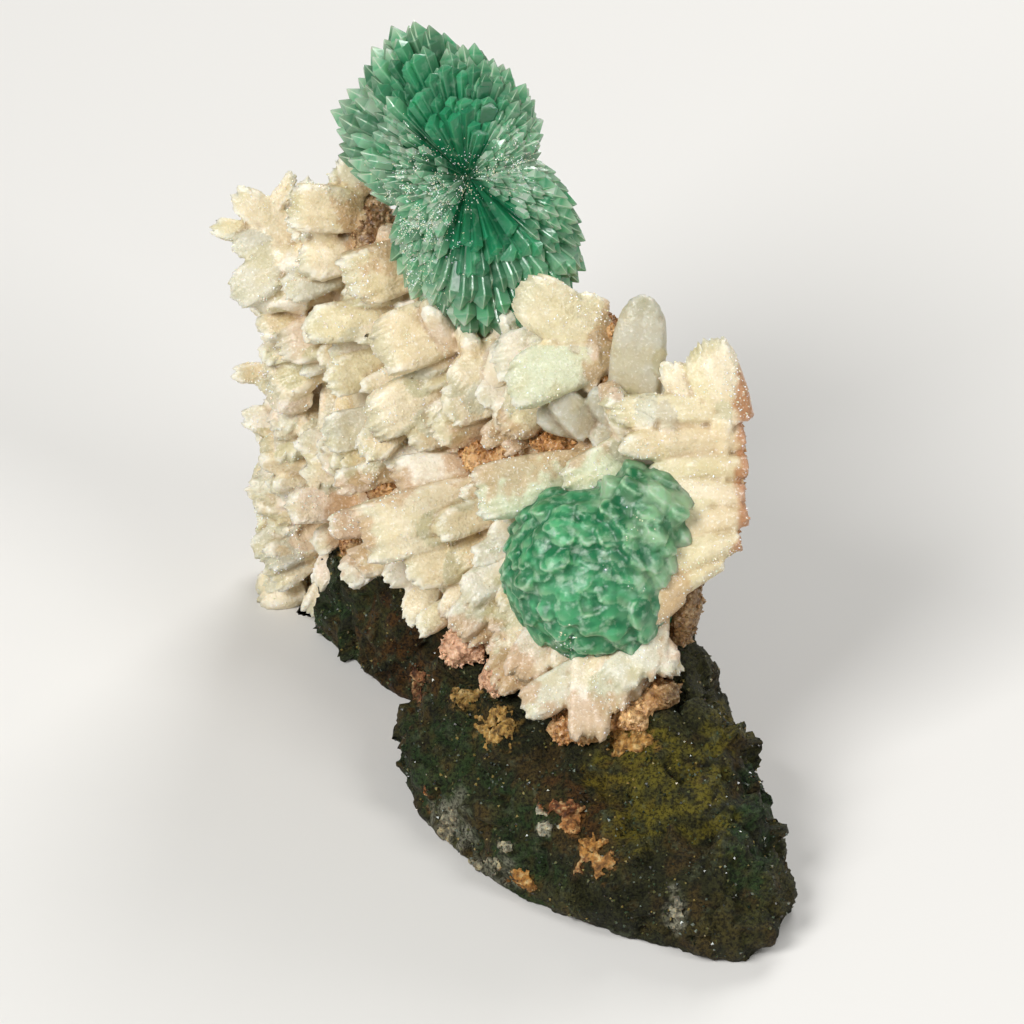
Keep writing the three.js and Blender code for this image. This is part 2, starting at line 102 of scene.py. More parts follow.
class Noise:
    """Smooth gradient noise in space, the same for the same seed."""

    CELLS = 256
    OFFSET = 100.37  # keeps the middle of the cluster off the lattice's corners
    GAIN = 1.6  # brings the values up to about -1 to 1

    def __init__(self, seed: int) -> None:
        """Draws the lattice's order and directions.

        Args:
            seed: The draws' seed.
        """
        rng = np.random.default_rng(seed)
        self.order = np.tile(rng.permutation(self.CELLS), 3)
        self.slopes = unit(rng.normal(size=(self.CELLS, 3)))

    def __call__(self, points: Array, length: float) -> Array:
        """Reads the noise.

        Args:
            points: One point in each row.
            length: The size of the noise's lumps.

        Returns:
            A value from about -1 to 1 for each point.
        """
        place = points / length + self.OFFSET
        cell = np.floor(place).astype(int)
        inside = place - cell
        cell &= self.CELLS - 1
        ease = inside * inside * inside * (inside * (inside * 6.0 - 15.0) + 10.0)
        total = np.zeros(len(points))
        for step in np.ndindex(2, 2, 2):
            corner = cell + step
            key = self.order[self.order[self.order[corner[:, 0]] + corner[:, 1]] + corner[:, 2]]
            weight = np.prod(np.where(step, ease, 1.0 - ease), axis=1)
            total += weight * np.einsum("ij,ij->i", self.slopes[key], inside - step)
        return total * self.GAIN

    def layers(self, points: Array, length: float, octaves: int) -> Array:
        """Adds octaves of the noise, each half as long and half as strong as the one before.

        Args:
            points: One point in each row.
            length: The size of the first octave's lumps.
            octaves: How many there are.

        Returns:
            The sum at each point.
        """
        apart = 17.3
        total = np.zeros(len(points))
        for octave in range(octaves):
            total += self(points + apart * octave, length / 2**octave) / 2**octave
        return total


NOISE = Noise(11)


@dataclass(frozen=True)
class Board:
    """The leaning plane on which the crystals are laid out: across, up its slope, and out of it."""

    lean: float = 35.0

    @property
    def axes(self) -> Array:
        """Across, rise and out as the rows of a matrix."""
        sine, cosine = math.sin(math.radians(self.lean)), math.cos(math.radians(self.lean))
        return np.array([[1.0, 0.0, 0.0], [0.0, sine, cosine], [0.0, -cosine, sine]])

    def point(self, across: float, rise: float, out: float) -> Array:
        """The point at three distances along the board's directions."""
        return np.array([across, rise, out]) @ self.axes

    def read(self, points: Array) -> Array:
        """Distances across, up and out of points, one point in each row."""
        return points @ self.axes.T

    def direction(self, heading: float, tilt: float) -> Array:
        """The direction at a heading on the board, in degrees, tilted out of it."""
        turn, lift = math.radians(heading), math.radians(tilt)
        return self.point(math.cos(lift) * math.cos(turn), math.cos(lift) * math.sin(turn), math.sin(lift))


BOARD = Board()


@dataclass(frozen=True)
class Wall:
    """The upright wall that the crystals grew on, given along X.

    front is the face's Y at mid_height, low and high its lean below and above that, foot and crest the
    lowest and highest Z, hem how far above the foot the stilbite starts, and depth, inset and ground how
    far behind the face the wall ends, the druse begins and the stilbite's common ground lies.
    """

    mid_height: float = 50.0
    x: tuple = (-38, -35, -31, -25, -18, -12, 0, 13, 19, 25, 29, 33, 38.5)
    front: tuple = (51, 49, 47, 37, 30.5, 25, 14, -3, -4, -5, -5, -5, -4)
    low: tuple = (0, 0, 0, 0.45, 0.69, 0.9, 1.15, 0.97, 0.9, 0.85, 0.8, 0.75, 0.75)
    high: tuple = (0, 0, 0.05, 0.35, 0.45, 0.55, 0.66, 0.82, 0.78, 0.75, 0.75, 0.75, 0.75)
    foot: tuple = (3, 0, 0, 21, 26, 26, 21.5, 23, 23, 29, 35, 44, 49)
    crest: tuple = (74, 77, 79, 79, 77, 76, 72, 75, 68, 67, 67, 67, 65.5)
    hem: tuple = (0, 0, 0, 4, 4, 3.5, 3, 3, 3, 4, 9, 4, 2)
    depth: tuple = (13, 17, 20, 26, 30, 33, 38, 42, 38, 34, 30, 26, 18)
    inset: tuple = (6.5, 8, 8, 8, 8, 8, 8, 8, 8, 7, 6, 5, 2)
    ground: tuple = (3.2, 3.2, 3.2, 3.2, 3.2, 3.2, 3.2, 3.2, 3.2, 3.2, 3.2, 1.7, 1.7)

    def value(self, key: str, x: Array) -> Array:
        """The named measure at x, straight between the stations."""
        return np.interp(x, self.x, getattr(self, key))

    def face(self, x: Array, z: Array) -> Array:
        """Y of the wall's face."""
        lean = np.where(z < self.mid_height, self.value("low", x), self.value("high", x))
        return self.value("front", x) + lean * (z - self.mid_height)

    def behind(self, across: float, rise: float) -> Array:
        """Finds the point of the face that lies square behind a place on the board.

        Args:
            across: The place's distance across the board.
            rise: Its distance up the board.

        Returns:
            The point.
        """
        sine, cosine = BOARD.axes[1][1:]
        middle = self.value("front", across) * sine + self.mid_height * cosine
        lean = self.value("low" if rise < middle else "high", across)
        z = self.mid_height + (rise - middle) / (cosine + lean * sine)
        return np.array([across, float(self.face(across, z)), z])


WALL = Wall()


# ---- meshes


class Shells:
    """Closed shells gathered into one mesh, with a colour for each point or each corner of its faces."""

    def __init__(self) -> None:
        """Starts empty."""
        self.points: list[Array] = []
        self.faces: Faces = []
        self.colours: list[Array] = []
        self.count = 0

    def add(self, points: Array, faces: Iterable[Sequence[int]], colours: Array) -> None:
        """Adds a shell.

        Args:
            points: Its points, one in each row.
            faces: Its faces, as rows of point numbers.
            colours: One colour, one for each point, or one for each corner of its faces in turn.
        """
        self.points.append(points)
        self.faces.extend([[i + self.count for i in face] for face in faces])
        self.colours.append(colours if np.ndim(colours) == 2 else np.broadcast_to(colours, (len(points), 3)))
        self.count += len(points)

    def build(
        self, name: str, finish: Material | None = None, flat: bool = False, domain: str = "POINT"
    ) -> Piece:
        """Makes the object, still in the cluster's own millimetres.

        Args:
            name: The object's name.
            finish: Its material, if it is to be seen.
            flat: Whether its faces are shaded flat.
            domain: POINT, or CORNER for corner colours, which outlast a join of solids.

        Returns:
            The new object.
        """
        mesh = bpy.data.meshes.new(name)
        mesh.from_pydata(np.concatenate(self.points).tolist(), [], self.faces)
        mesh.validate()
        piece = bpy.data.objects.new(name, mesh)
        bpy.context.scene.collection.objects.link(piece)
        paint(piece, np.concatenate(self.colours), domain)
        if finish:
            dress(piece, finish, flat)
        return piece


def paint(piece: Piece, colours: Array, domain: str = "POINT") -> None:
    """Stores the mesh's colours under the name tint.

    Args:
        piece: The mesh.
        colours: One colour for each point, or for each corner of the faces.
        domain: POINT or CORNER, to match.
    """
    mesh = piece.data
    layer = mesh.color_attributes.get("tint") or mesh.color_attributes.new("tint", "FLOAT_COLOR", domain)
    rows = np.ones((len(colours), 4), dtype=np.float32)
    rows[:, :3] = np.clip(colours, 0.0, 1.0)
    layer.data.foreach_set("color", rows.ravel())


def dress(piece: Piece, finish: Material, flat: bool = False) -> None:
    """Gives a piece its finish.

    Args:
        piece: The piece.
        finish: Its material.
        flat: Whether its faces are shaded flat.
    """
    piece.data.materials.clear()
    piece.data.materials.append(finish)
    piece.data.polygons.foreach_set("use_smooth", [not flat] * len(piece.data.polygons))


def rows_of(items: bpy.types.bpy_prop_collection, name: str) -> Array:
    """Reads a vector of each item of a mesh.

    Args:
        items: The items.
        name: The vector's name.

    Returns:
        The vectors, one in each row.
    """
    rows = np.empty(3 * len(items), dtype=np.float32)
    items.foreach_get(name, rows)
    return rows.reshape(-1, 3).astype(float)


def points_of(piece: Piece) -> Array:
    """The mesh's points, one in each row."""
    return rows_of(piece.data.vertices, "co")


def normals_of(piece: Piece) -> Array:
    """The mesh's normals at its points, one in each row."""
    return rows_of(piece.data.vertex_normals, "vector")


def move_points(piece: Piece, points: Array) -> None:
    """Puts the mesh's points in new places."""
    piece.data.vertices.foreach_set("co", points.astype(np.float32).ravel())
    piece.data.update()


def push_out(piece: Piece, relief: Array, lowest: float = 0.05) -> Array:
    """Moves a skin along its normals and along Z where it would dip under a height.

    Args:
        piece: The mesh, changed in place.
        relief: How far each point moves out.
        lowest: The least height.

    Returns:
        The points in their new places.
    """
    points = points_of(piece) + normals_of(piece) * relief[:, None]
    points[:, 2] = np.maximum(points[:, 2], lowest)
    move_points(piece, points)
    return points


def bake_down(piece: Piece) -> None:
    """Replaces the mesh by what its modifiers make of it.

    Args:
        piece: The mesh's object.
    """
    graph = bpy.context.evaluated_depsgraph_get()
    result = bpy.data.meshes.new_from_object(piece.evaluated_get(graph))
    old = piece.data
    piece.modifiers.clear()
    piece.data = result
    bpy.data.meshes.remove(old)


def fuse(piece: Piece, grain: float) -> None:
    """Melts overlapping shells into one skin.

    Args:
        piece: The mesh, changed in place.
        grain: The size of the new skin's faces.
    """
    remesh = piece.modifiers.new("fuse", "REMESH")
    remesh.mode = "VOXEL"
    remesh.voxel_size = grain
    bake_down(piece)


def hand_over(piece: Piece, slot: str, *nodes: str) -> Piece:
    """Moves a finished piece to the row's frame, in metres, hangs it on the root body and hides the solids it
    stands for.

    Args:
        piece: The finished piece.
        slot: The name of a material slot. It is not used.
        *nodes: The solids that it stands for.

    Returns:
        The same piece.
    """
    shift = Matrix.Translation(Vector(ROW_ORIGIN * MM))
    piece.data.transform(shift @ Matrix.Scale(MM, 4))
    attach(piece, ROOT_BODY)
    if nodes:
        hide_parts(*nodes)
    LOG.info("%s: %d faces", piece.name, len(piece.data.polygons))
    return piece


def ring_faces(rings: int, sides: int) -> Faces:
    """Faces of a skin through rings of points that are closed by a point at both ends.

    Args:
        rings: How many rings there are.
        sides: How many points each ring has.

    Returns:
        The faces. The two end points come after the rings.
    """
    faces = []
    for ring in range(rings - 1):
        for side in range(sides):
            after = (side + 1) % sides
            low, high = ring * sides, (ring + 1) * sides
            faces.append([low + side, low + after, high + after, high + side])
    start, end = rings * sides, rings * sides + 1
    for side in range(sides):
        after = (side + 1) % sides
        faces.append([start, after, side])
        faces.append([end, (rings - 1) * sides + side, (rings - 1) * sides + after])
    return faces


def basis(direction: Array, facing: Array, roll: float) -> Array:
    """Axes of a crystal: its width, its thickness and its length, as rows.

    Args:
        direction: Where the crystal points.
        facing: Where its broad side looks.
        roll: Radians that it is rolled about its length.

    Returns:
        The three axes.
    """
    along = unit(direction)
    wide = unit(np.cross(along, facing))
    thick = np.cross(along, wide)
    cosine, sine = math.cos(roll), math.sin(roll)
    return np.array([cosine * wide + sine * thick, -sine * wide + cosine * thick, along])


# ---- finishes


class Signal:
    """One value in a shader graph. Sums and products of signals add the nodes that work them out."""

    def __init__(self, graph: "Graph", socket: bpy.types.NodeSocket) -> None:
        """Wraps a node's output."""
        self.graph = graph
        self.socket = socket

    def _with(self, operation: str, first: "Feed", second: "Feed" = 0.0) -> "Signal":
        """Adds a Math node for two values."""
        return self.graph.node("Math", {"operation": operation}, {0: first, 1: second})

    def __add__(self, other: "Feed") -> "Signal":
        """Sum."""
        return self._with("ADD", self, other)

    def __sub__(self, other: "Feed") -> "Signal":
        """Difference."""
        return self._with("SUBTRACT", self, other)

    def __rsub__(self, other: "Feed") -> "Signal":
        """Difference with a plain number first."""
        return self._with("SUBTRACT", other, self)

    def __mul__(self, other: "Feed") -> "Signal":
        """Product."""
        return self._with("MULTIPLY", self, other)

    __radd__ = __add__
    __rmul__ = __mul__

    def above(self, low: float, high: float) -> "Signal":
        """0 below low, 1 over high and eased between them."""
        inputs = {"Value": self, "From Min": low, "From Max": high}
        return self.graph.node("MapRange", {"interpolation_type": "SMOOTHSTEP"}, inputs)


Feed = float | Sequence[float] | Signal


class Graph:
    """A material's shader graph around one Principled shader."""

    def __init__(self, name: str) -> None:
        """Makes the material with its shader and output.

        Args:
            name: The material's name.
        """
        self.material = bpy.data.materials.new(name)
        self.material.use_nodes = True
        self.tree = self.material.node_tree
        self.shader = self.tree.nodes["Principled BSDF"]
        self.output = self.tree.nodes["Material Output"]

    def node(self, kind: str, settings: dict, inputs: dict, output: int | str = 0) -> Signal:
        """Adds a node.

        Args:
            kind: The node's type, without ShaderNode.
            settings: Its properties, such as a Math node's operation.
            inputs: Plain values or signals for its sockets, by name or number.
            output: Which of its outputs is wanted.

        Returns:
            That output.
        """
        made = self.tree.nodes.new("ShaderNode" + kind)
        for key, value in settings.items():
            setattr(made, key, value)
        self.feed(made, inputs)
        return Signal(self, made.outputs[output])

    def feed(self, made: bpy.types.Node, inputs: dict) -> None:
        """Sets or links a node's sockets.

        Args:
            made: The node.
            inputs: Plain values or signals, by the sockets' names or numbers.
        """
        for key, value in inputs.items():
            if isinstance(value, Signal):
                self.tree.links.new(value.socket, made.inputs[key])
            else:
                made.inputs[key].default_value = value

    def principled(self, inputs: dict) -> Material:
        """Sets the shader's sockets and returns the finished material."""
        self.feed(self.shader, inputs)
        return self.material

    def place(self) -> Signal:
        """The point of the surface in the object's own axes."""
        return self.node("TexCoord", {}, {}, "Object")

    def tint(self) -> Signal:
        """The colour that the mesh carries."""
        return self.node("VertexColor", {"layer_name": "tint"}, {})

    def noise(self, length: float, detail: float, rough: float = 0.5) -> Signal:
        """Cloudy noise with lumps of a length in millimetres."""
        inputs = {"Vector": self.place(), "Scale": 1.0 / (length * MM), "Detail": detail, "Roughness": rough}
        return self.node("TexNoise", {}, inputs)

    def cells(self, length: float) -> Signal:
        """A colour drawn for each cell of space, the cells having a length in millimetres."""
        inputs = {"Vector": self.place(), "Scale": 1.0 / (length * MM)}
        return self.node("TexVoronoi", {}, inputs, "Color")

    def blend(self, share: Feed, first: Feed, second: Feed, how: str = "MIX") -> Signal:
        """Lays a share of the second colour over the first, or darkens it by that with MULTIPLY."""
        settings = {"data_type": "RGBA", "blend_type": how}
        return self.node("Mix", settings, {0: share, 6: first, 7: second}, 2)

    def bump(self, height: Feed, depth: float, normal: Signal | None = None) -> Signal:
        """Bends a normal by a height.

        Args:
            height: The height, from about 0 to 1.
            depth: How deep that relief is, in millimetres.
            normal: The normal that is bent, if not the surface's own.

        Returns:
            The bent normal.
        """
        inputs = {"Height": height, "Distance": depth * MM, "Strength": 1.0}
        if normal:
            inputs["Normal"] = normal
        return self.node("Bump", {}, inputs)

    def facets(self, length: float, strength: float) -> Signal:
        """A normal tilted at random in each cell, as on a skin of tiny crystals.

        Args:
            length: The crystals' size in millimetres.
            strength: How far they tilt, over the normal's own length.

        Returns:
            The normal.
        """
        centred = {0: self.cells(length), 1: (strength,) * 3, 2: (-0.5 * strength,) * 3}
        tilt = self.node("VectorMath", {"operation": "MULTIPLY_ADD"}, centred)
        plain = self.node("NewGeometry", {}, {}, "Normal")
        total = self.node("VectorMath", {"operation": "ADD"}, {0: plain, 1: tilt})
        return self.node("VectorMath", {"operation": "NORMALIZE"}, {0: total})


def rgba(code: str) -> tuple:
    """A six-digit colour code as a colour socket's plain value."""
    return (*map(float, linear(code)), 1.0)


@dataclass(frozen=True)
class StilbiteFinish:
    """Milky stilbite: soft light inside and a satin skin with a fine sugary grain.

    glow is the share of light that spreads inside, reach how far it goes, clear how much goes straight
    through, grain the size of the skin's facets and tilt how far they tilt.
    """

    name: str = "stilbite"
    glow: float = 0.3
    reach: float = 1.3
    clear: float = 0.0
    grain: float = 0.34
    tilt: float = 0.32

    def material(self) -> Material:
        """Builds the finish.

        Returns:
            The material.
        """
        graph = Graph(self.name)
        sugar = graph.noise(5.0, 2.0).above(0.4, 0.6)
        speck = graph.noise(0.45, 3.0)
        pale = graph.blend(speck.above(0.56, 0.7) * 0.5, graph.tint(), rgba("fffaf0"))
        cloudy = graph.noise(2.6, 3.0).above(0.6, 0.4) * 0.18
        return graph.principled(
            {
                "Base Color": graph.blend(cloudy, pale, rgba("d2c49e"), "MULTIPLY"),
                "Roughness": 0.42 - 0.14 * sugar,
                "IOR": 1.5,
                "Transmission Weight": self.clear,
                "Subsurface Weight": self.glow,
                "Subsurface Radius": (1.0, 0.8, 0.55),
                "Subsurface Scale": self.reach * MM,
                "Normal": graph.bump(speck, 0.12, graph.facets(self.grain, self.tilt)),
            }
        )


@dataclass(frozen=True)
class SugarFinish:
    """Tiny crystals that catch the light."""

    name: str
    roughness: float = 0.1

    def material(self) -> Material:
        """Builds the finish.

        Returns:
            The material.
        """
        graph = Graph(self.name)
        return graph.principled(
            {
                "Base Color": graph.tint(),
                "Roughness": self.roughness,
                "IOR": 1.55,
                "Subsurface Weight": 0.3,
                "Subsurface Scale": 0.3 * MM,
                "Coat Weight": 0.5,
                "Coat Roughness": 0.05,
            }
        )


@dataclass(frozen=True)
class CrustFinish:
    """Sugary or crumbly crust, with facets of one grain and dark and light specks."""

    name: str
    grain: float
    dark: str
    light: str
    roughness: float = 0.45

    def material(self) -> Material:
        """Builds the finish.

        Returns:
            The material.
        """
        graph = Graph(self.name)
        speck = graph.noise(0.8, 3.0)
        dark = graph.blend(speck.above(0.55, 0.35) * 0.6, graph.tint(), rgba(self.dark), "MULTIPLY")
        return graph.principled(
            {
                "Base Color": graph.blend(speck.above(0.58, 0.75) * 0.5, dark, rgba(self.light)),
                "Roughness": self.roughness,
                "Subsurface Weight": 0.1,
                "Subsurface Scale": 1.0 * MM,
                "Normal": graph.bump(speck, 0.35, graph.facets(self.grain, 0.9)),
            }
        )


@dataclass(frozen=True)
class BasaltFinish:
    """Dark granular basalt."""

    def material(self) -> Material:
        """Builds the finish.

        Returns:
            The material.
        """
        graph = Graph("basalt")
        sand = graph.noise(0.6, 4.0, 0.7)
        patch = graph.noise(3.0, 5.0, 0.65)
        dark = graph.blend(sand.above(0.56, 0.4) * 0.8, graph.tint(), rgba("3c3a30"), "MULTIPLY")
        spots = graph.noise(0.45, 2.0, 0.7).above(0.66, 0.74)
        gold = spots * graph.noise(6.0, 2.0).above(0.42, 0.58)
        lit = graph.blend(gold * 0.6, dark, rgba("94834a"))
        return graph.principled(
            {
                "Base Color": graph.blend(patch.above(0.56, 0.68) * 0.35, lit, rgba("5d654c")),
                "Roughness": 0.62 - 0.3 * gold,
                "Specular IOR Level": 0.22,
                "Normal": graph.bump(sand + 0.6 * patch, 0.7, graph.facets(0.5, 0.8)),
            }
        )


@dataclass(frozen=True)
class ApophylliteFinish:
    """Green glassy apophyllite, deeper green where it is thick.

    clear is how much light goes straight through, depth_colour and depth what the thickness takes from it,
    coat the strength of the outer gloss, milk that of the veils inside, glow the share of light that spreads
    inside and reach how far it goes.
    """

    name: str
    clear: float
    roughness: float
    depth_colour: str
    depth: float
    coat: float = 0.0
    milk: float = 0.35
    glow: float = 0.6
    reach: float = 3.0

    def material(self) -> Material:
        """Builds the finish.

        Returns:
            The material.
        """
        graph = Graph(self.name)
        veil = graph.noise(1.6, 3.0)
        fine = graph.noise(0.35, 2.0)
        colour = graph.blend(veil.above(0.5, 0.75) * self.milk, graph.tint(), rgba("d4eed6"))
        absorb = {"Color": rgba(self.depth_colour), "Density": self.depth}
        volume = graph.node("VolumeAbsorption", {}, absorb)
        graph.tree.links.new(volume.socket, graph.output.inputs["Volume"])
        return graph.principled(
            {
                "Base Color": colour,
                "Roughness": self.roughness,
                "IOR": 1.535,
                "Transmission Weight": self.clear,
                "Subsurface Weight": self.glow,
                "Subsurface Radius": (0.4, 1.0, 0.65),
                "Subsurface Scale": self.reach * MM,
                "Coat Weight": self.coat,
                "Coat Roughness": 0.24,
                "Normal": graph.bump(veil + 0.3 * fine, 0.12),
            }
        )


# ---- crystals


def section(sides: int, power: float, flatness: float) -> Array:
    """A rounded section.

    Args:
        sides: How many points it has.
        power: How square it is, 2 being an ellipse.
        flatness: Its thickness over its width.

    Returns:
        Points about the middle, one unit from it across.
    """
    turn = np.arange(sides) * 2.0 * np.pi / sides
    wide = np.sign(np.cos(turn)) * np.abs(np.cos(turn)) ** (2.0 / power)
    thick = np.sign(np.sin(turn)) * np.abs(np.sin(turn)) ** (2.0 / power)
    return np.stack([wide, flatness * thick], axis=1)


@dataclass(frozen=True)
class Plate:
    """One of the plates that make up a blade, in shares of its length, width and thickness."""

    length: float = 1.0
    width: float = 1.0
    thickness: float = 1.0
    aside: float = 0.0
    raised: float = 0.0
    turned: float = 0.0
    bowed: float = 0.0


@dataclass(frozen=True)
class Blade:
    """One stilbite blade: parallel plates grown together, with straight sides and a blunt chisel end."""

    root: Array
    direction: Array
    length: float
    width: float
    colour: Array
    roll: float = 0.0
    facing: Array = field(default_factory=lambda: BOARD.axes[2])
    flatness: float = 0.64
    clear: bool = False
    bare: bool = False

    def axes(self) -> Array:
        """Width, thickness and length as rows. The thickness points into the rock."""
        return basis(self.direction, self.facing, self.roll)

    def plates(self, rng: Draws) -> list[Plate]:
        """The blade's plates: one of its own size and smaller ones that give it steps.

        Args:
            rng: The draws.

        Returns:
            The plates.
        """
        bow = rng.uniform(-0.04, 0.04)
        plates = [Plate(bowed=bow)]
        if self.clear:
            return plates
        for side in () if self.bare else (-1.0, 1.0):
            beside = Plate(
                length=rng.uniform(0.84, 1.05),
                width=rng.uniform(0.4, 0.55),
                thickness=0.85,
                aside=side * rng.uniform(0.22, 0.33),
                raised=rng.uniform(-0.04, 0.12),
                turned=side * rng.uniform(-0.03, 0.06),
                bowed=bow,
            )
            plates.append(beside)
        on_top = Plate(
            length=rng.uniform(0.66, 0.92), width=rng.uniform(0.5, 0.75), thickness=0.8,
            aside=rng.uniform(-0.1, 0.1), raised=0.18, bowed=bow,
        )
        return [*plates, on_top]

    def shell(self, plate: Plate) -> Solid:
        """Shapes one of its plates.

        Args:
            plate: The plate.

        Returns:
            The plate's points and faces.
        """
        sides, squareness = 18, 3.4
        shaft_end = 0.45 if self.clear else 0.7
        tip = 1.0 - shaft_end
        stations = np.array([0.0, 0.25, 0.45, 0.65, 0.8, 0.92, 0.985])
        along = np.concatenate([[0.0, 0.12, 0.3, 0.5], shaft_end + tip * stations])
        swell = 0.8 + 0.2 * smooth(0.0, 0.4, along)
        into_tip = np.clip((along - shaft_end) / tip, 0.0, 1.0)
        plan = (1.0 - into_tip**2.8) ** 0.5
        edge = (1.0 - into_tip**3.2) ** 0.6
        ring = section(sides, squareness, self.flatness * plate.thickness / plate.width)
        half = self.width * plate.width / 2.0
        lift = plate.raised * self.flatness * self.width
        reach = along * plate.length * self.length
        aside = plate.aside * self.width + plate.turned * reach
        bow = plate.bowed * self.length * (1.0 - (2.0 * along - 1.0) ** 2) - lift
        rows = []
        for height, full, wide, thick, across, out in zip(reach, swell, plan, edge, aside, bow):
            place_x = ring[:, 0] * half * full * wide + across
            place_y = ring[:, 1] * half * full * thick + out
            rows.append(np.column_stack([place_x, place_y, np.full(sides, height)]))
        ends = np.array([[aside[0], bow[0], 0.0], [aside[-1], bow[-1], plate.length * self.length]])
        return np.concatenate([*rows, ends]) @ self.axes() + self.root, ring_faces(len(along), sides)

    def reading(self, points: Array) -> tuple[Array, Array, Array]:
        """Where points lie by the blade.

        Args:
            points: One point in each row.

        Returns:
            Their distance from its middle line over its own half size, their share of its length and their
            place across it.
        """
        local = (points - self.root) @ self.axes().T
        half = self.width / 2.0
        share = local[:, 2] / self.length
        beyond = np.maximum(np.abs(share - 0.5) - 0.5, 0.0) * self.length / half
        near = np.sqrt((local[:, 0] / half) ** 2 + (local[:, 1] / (half * self.flatness)) ** 2 + beyond**2)
        return near, share, local[:, 0]


CRYSTAL_SIDES = 8


def crystal_shell(
    axes: Array,
    root: Array,
    length: float,
    width: float,
    pyramid: float,
    flatness: float,
    bevel: float,
) -> Solid:
    """A square prism with bevelled edges that widens from its root and ends in a four-sided pyramid.

    Its rings lie at the root, some way up, at the shoulder, just inside the shoulder's rim and by the point.

    Args:
        axes: Its width, thickness and length as rows.
        root: Where it starts.
        length: Its whole length.
        width: Its width across the flats.
        pyramid: The pyramid's height over the width.
        flatness: Its thickness over its width.
        bevel: How far each flat reaches towards its corners, 1 being a sharp square.

    Returns:
        Its points and faces.
    """
    half = width / 2.0
    upper = [(1, bevel), (bevel, 1), (-bevel, 1), (-1, bevel)]
    square = np.array([*upper, *((-x, -y) for x, y in upper)])
    shoulder = max(length - pyramid * width, 0.3 * length)
    rise = length - shoulder
    belt = max(0.55 * shoulder, shoulder - 1.6 * width)
    heights = (0.0, belt, shoulder, shoulder + 0.16 * rise, length - 0.08 * rise)
    spreads = (0.4, 0.9, 1.0, 0.84, 0.12)
    rows = []
    for height, spread in zip(heights, spreads):
        ring = square * [half * spread, half * spread * flatness]
        rows.append(np.column_stack([ring, np.full(CRYSTAL_SIDES, height)]))
    ends = np.array([[0.0, 0.0, 0.0], [0.0, 0.0, length]])
    return np.concatenate([*rows, ends]) @ axes + root, ring_faces(len(heights), CRYSTAL_SIDES)


def edge_highlight_colours(faces: Faces, points: Array, edge: Array, share: float) -> Array:
    """Colours for the corners of a crystal's faces, with a painted highlight on the narrow faces along its
    edges.

    Args:
        faces: Its faces, as crystal_shell gives them.
        points: One colour for each of its points.
        edge: The painted highlight's colour along its edges.
        share: How much of that colour the narrow faces take near the point. They take less along the shaft.

    Returns:
        One colour for each corner.
    """
    shaft_faces = 2 * CRYSTAL_SIDES
    rows = []
    for number, face in enumerate(faces):
        narrow = len(face) == 4 and number % 2 == 0
        part = np.array(share if number >= shaft_faces else 0.25 * share)
        rows.extend(mix(points[i], edge, part) if narrow else points[i] for i in face)
    return np.array(rows)


OCTAHEDRON = np.array([[1, 0, 0], [0, 1, 0], [-1, 0, 0], [0, -1, 0], [0, 0, 1.5], [0, 0, -1.5]], dtype=float)
OCTAHEDRON_FACES = [[0, 1, 4], [1, 2, 4], [2, 3, 4], [3, 0, 4], [1, 0, 5], [2, 1, 5], [3, 2, 5], [0, 3, 5]]


class Sugar:
    """Tiny crystals strewn over a skin, none of them right above the floor."""

    CLEAR_OF_FLOOR = 1.2

    def __init__(self, skin: Piece, seed: int) -> None:
        """Reads the skin.

        Args:
            skin: The mesh that they grow on.
            seed: The start of the draws.
        """
        mesh = skin.data
        mesh.calc_loop_triangles()
        corners = np.empty(3 * len(mesh.loop_triangles), dtype=np.int32)
        mesh.loop_triangles.foreach_get("vertices", corners)
        self.rng = np.random.default_rng(seed)
        self.triangles = points_of(skin)[corners.reshape(-1, 3)]
        first, second, third = (self.triangles[:, i] for i in range(3))
        cross = np.cross(second - first, third - first)
        self.areas = np.linalg.norm(cross, axis=1) / 2.0
        self.middles = (first + second + third) / 3.0
        self.normals = unit(cross)

    def strew(
        self, shells: Shells, count: int, sizes: tuple[float, float], weight: Array, colour: Callable
    ) -> None:
        """Adds the crystals.

        Args:
            shells: The mesh that they are added to.
            count: How many there are.
            sizes: The least and the greatest half size.
            weight: How likely each face is to carry one, for a square millimetre.
            colour: Gives one colour for each middle that it is handed.
        """
        chance = self.areas * weight * (self.middles[:, 2] > self.CLEAR_OF_FLOOR)
        picks = self.rng.choice(len(chance), size=count, p=chance / chance.sum())
        inside = self.rng.dirichlet((1.0, 1.0, 1.0), size=count)
        spots = np.einsum("ij,ijk->ik", inside, self.triangles[picks])
        colours = colour(spots)
        size = self.rng.uniform(*sizes, size=count)
        lean = unit(self.normals[picks] + self.rng.normal(scale=0.45, size=(count, 3)))
        facing = unit(self.rng.normal(size=(count, 3)))
        for spot, up, side, scale, tone in zip(spots, lean, facing, size, colours):
            axes = basis(up, side, 0.0)
            shells.add(OCTAHEDRON * scale @ axes + spot, OCTAHEDRON_FACES, tone)


# ---- the rock


@dataclass(frozen=True)
class Patch:
    """A patch on the side of the rock that the board faces: its middle and half sizes on the board."""

    across: float
    rise: float
    wide: float
    high: float

    def cover(self, board: Array, ragged: Array) -> Array:
        """How much the patch covers points, given their board places and a noise for its ragged edge."""
        off = np.hypot((board[:, 0] - self.across) / self.wide, (board[:, 1] - self.rise) / self.high)
        return smooth(1.15, 0.8, off + 0.45 * ragged)


class RockShade(Shade):
    """The basalt's shades and those of what grows on it."""

    DARK = "2a2b14"
    OLIVE = "403f1f"
    BROWN = "523e1c"
    MOSS = "2d4422"
    RUST = "503412"
    TAIL = "50461f"
    LICHEN = "74691c"
    PALE = "8d8b78"


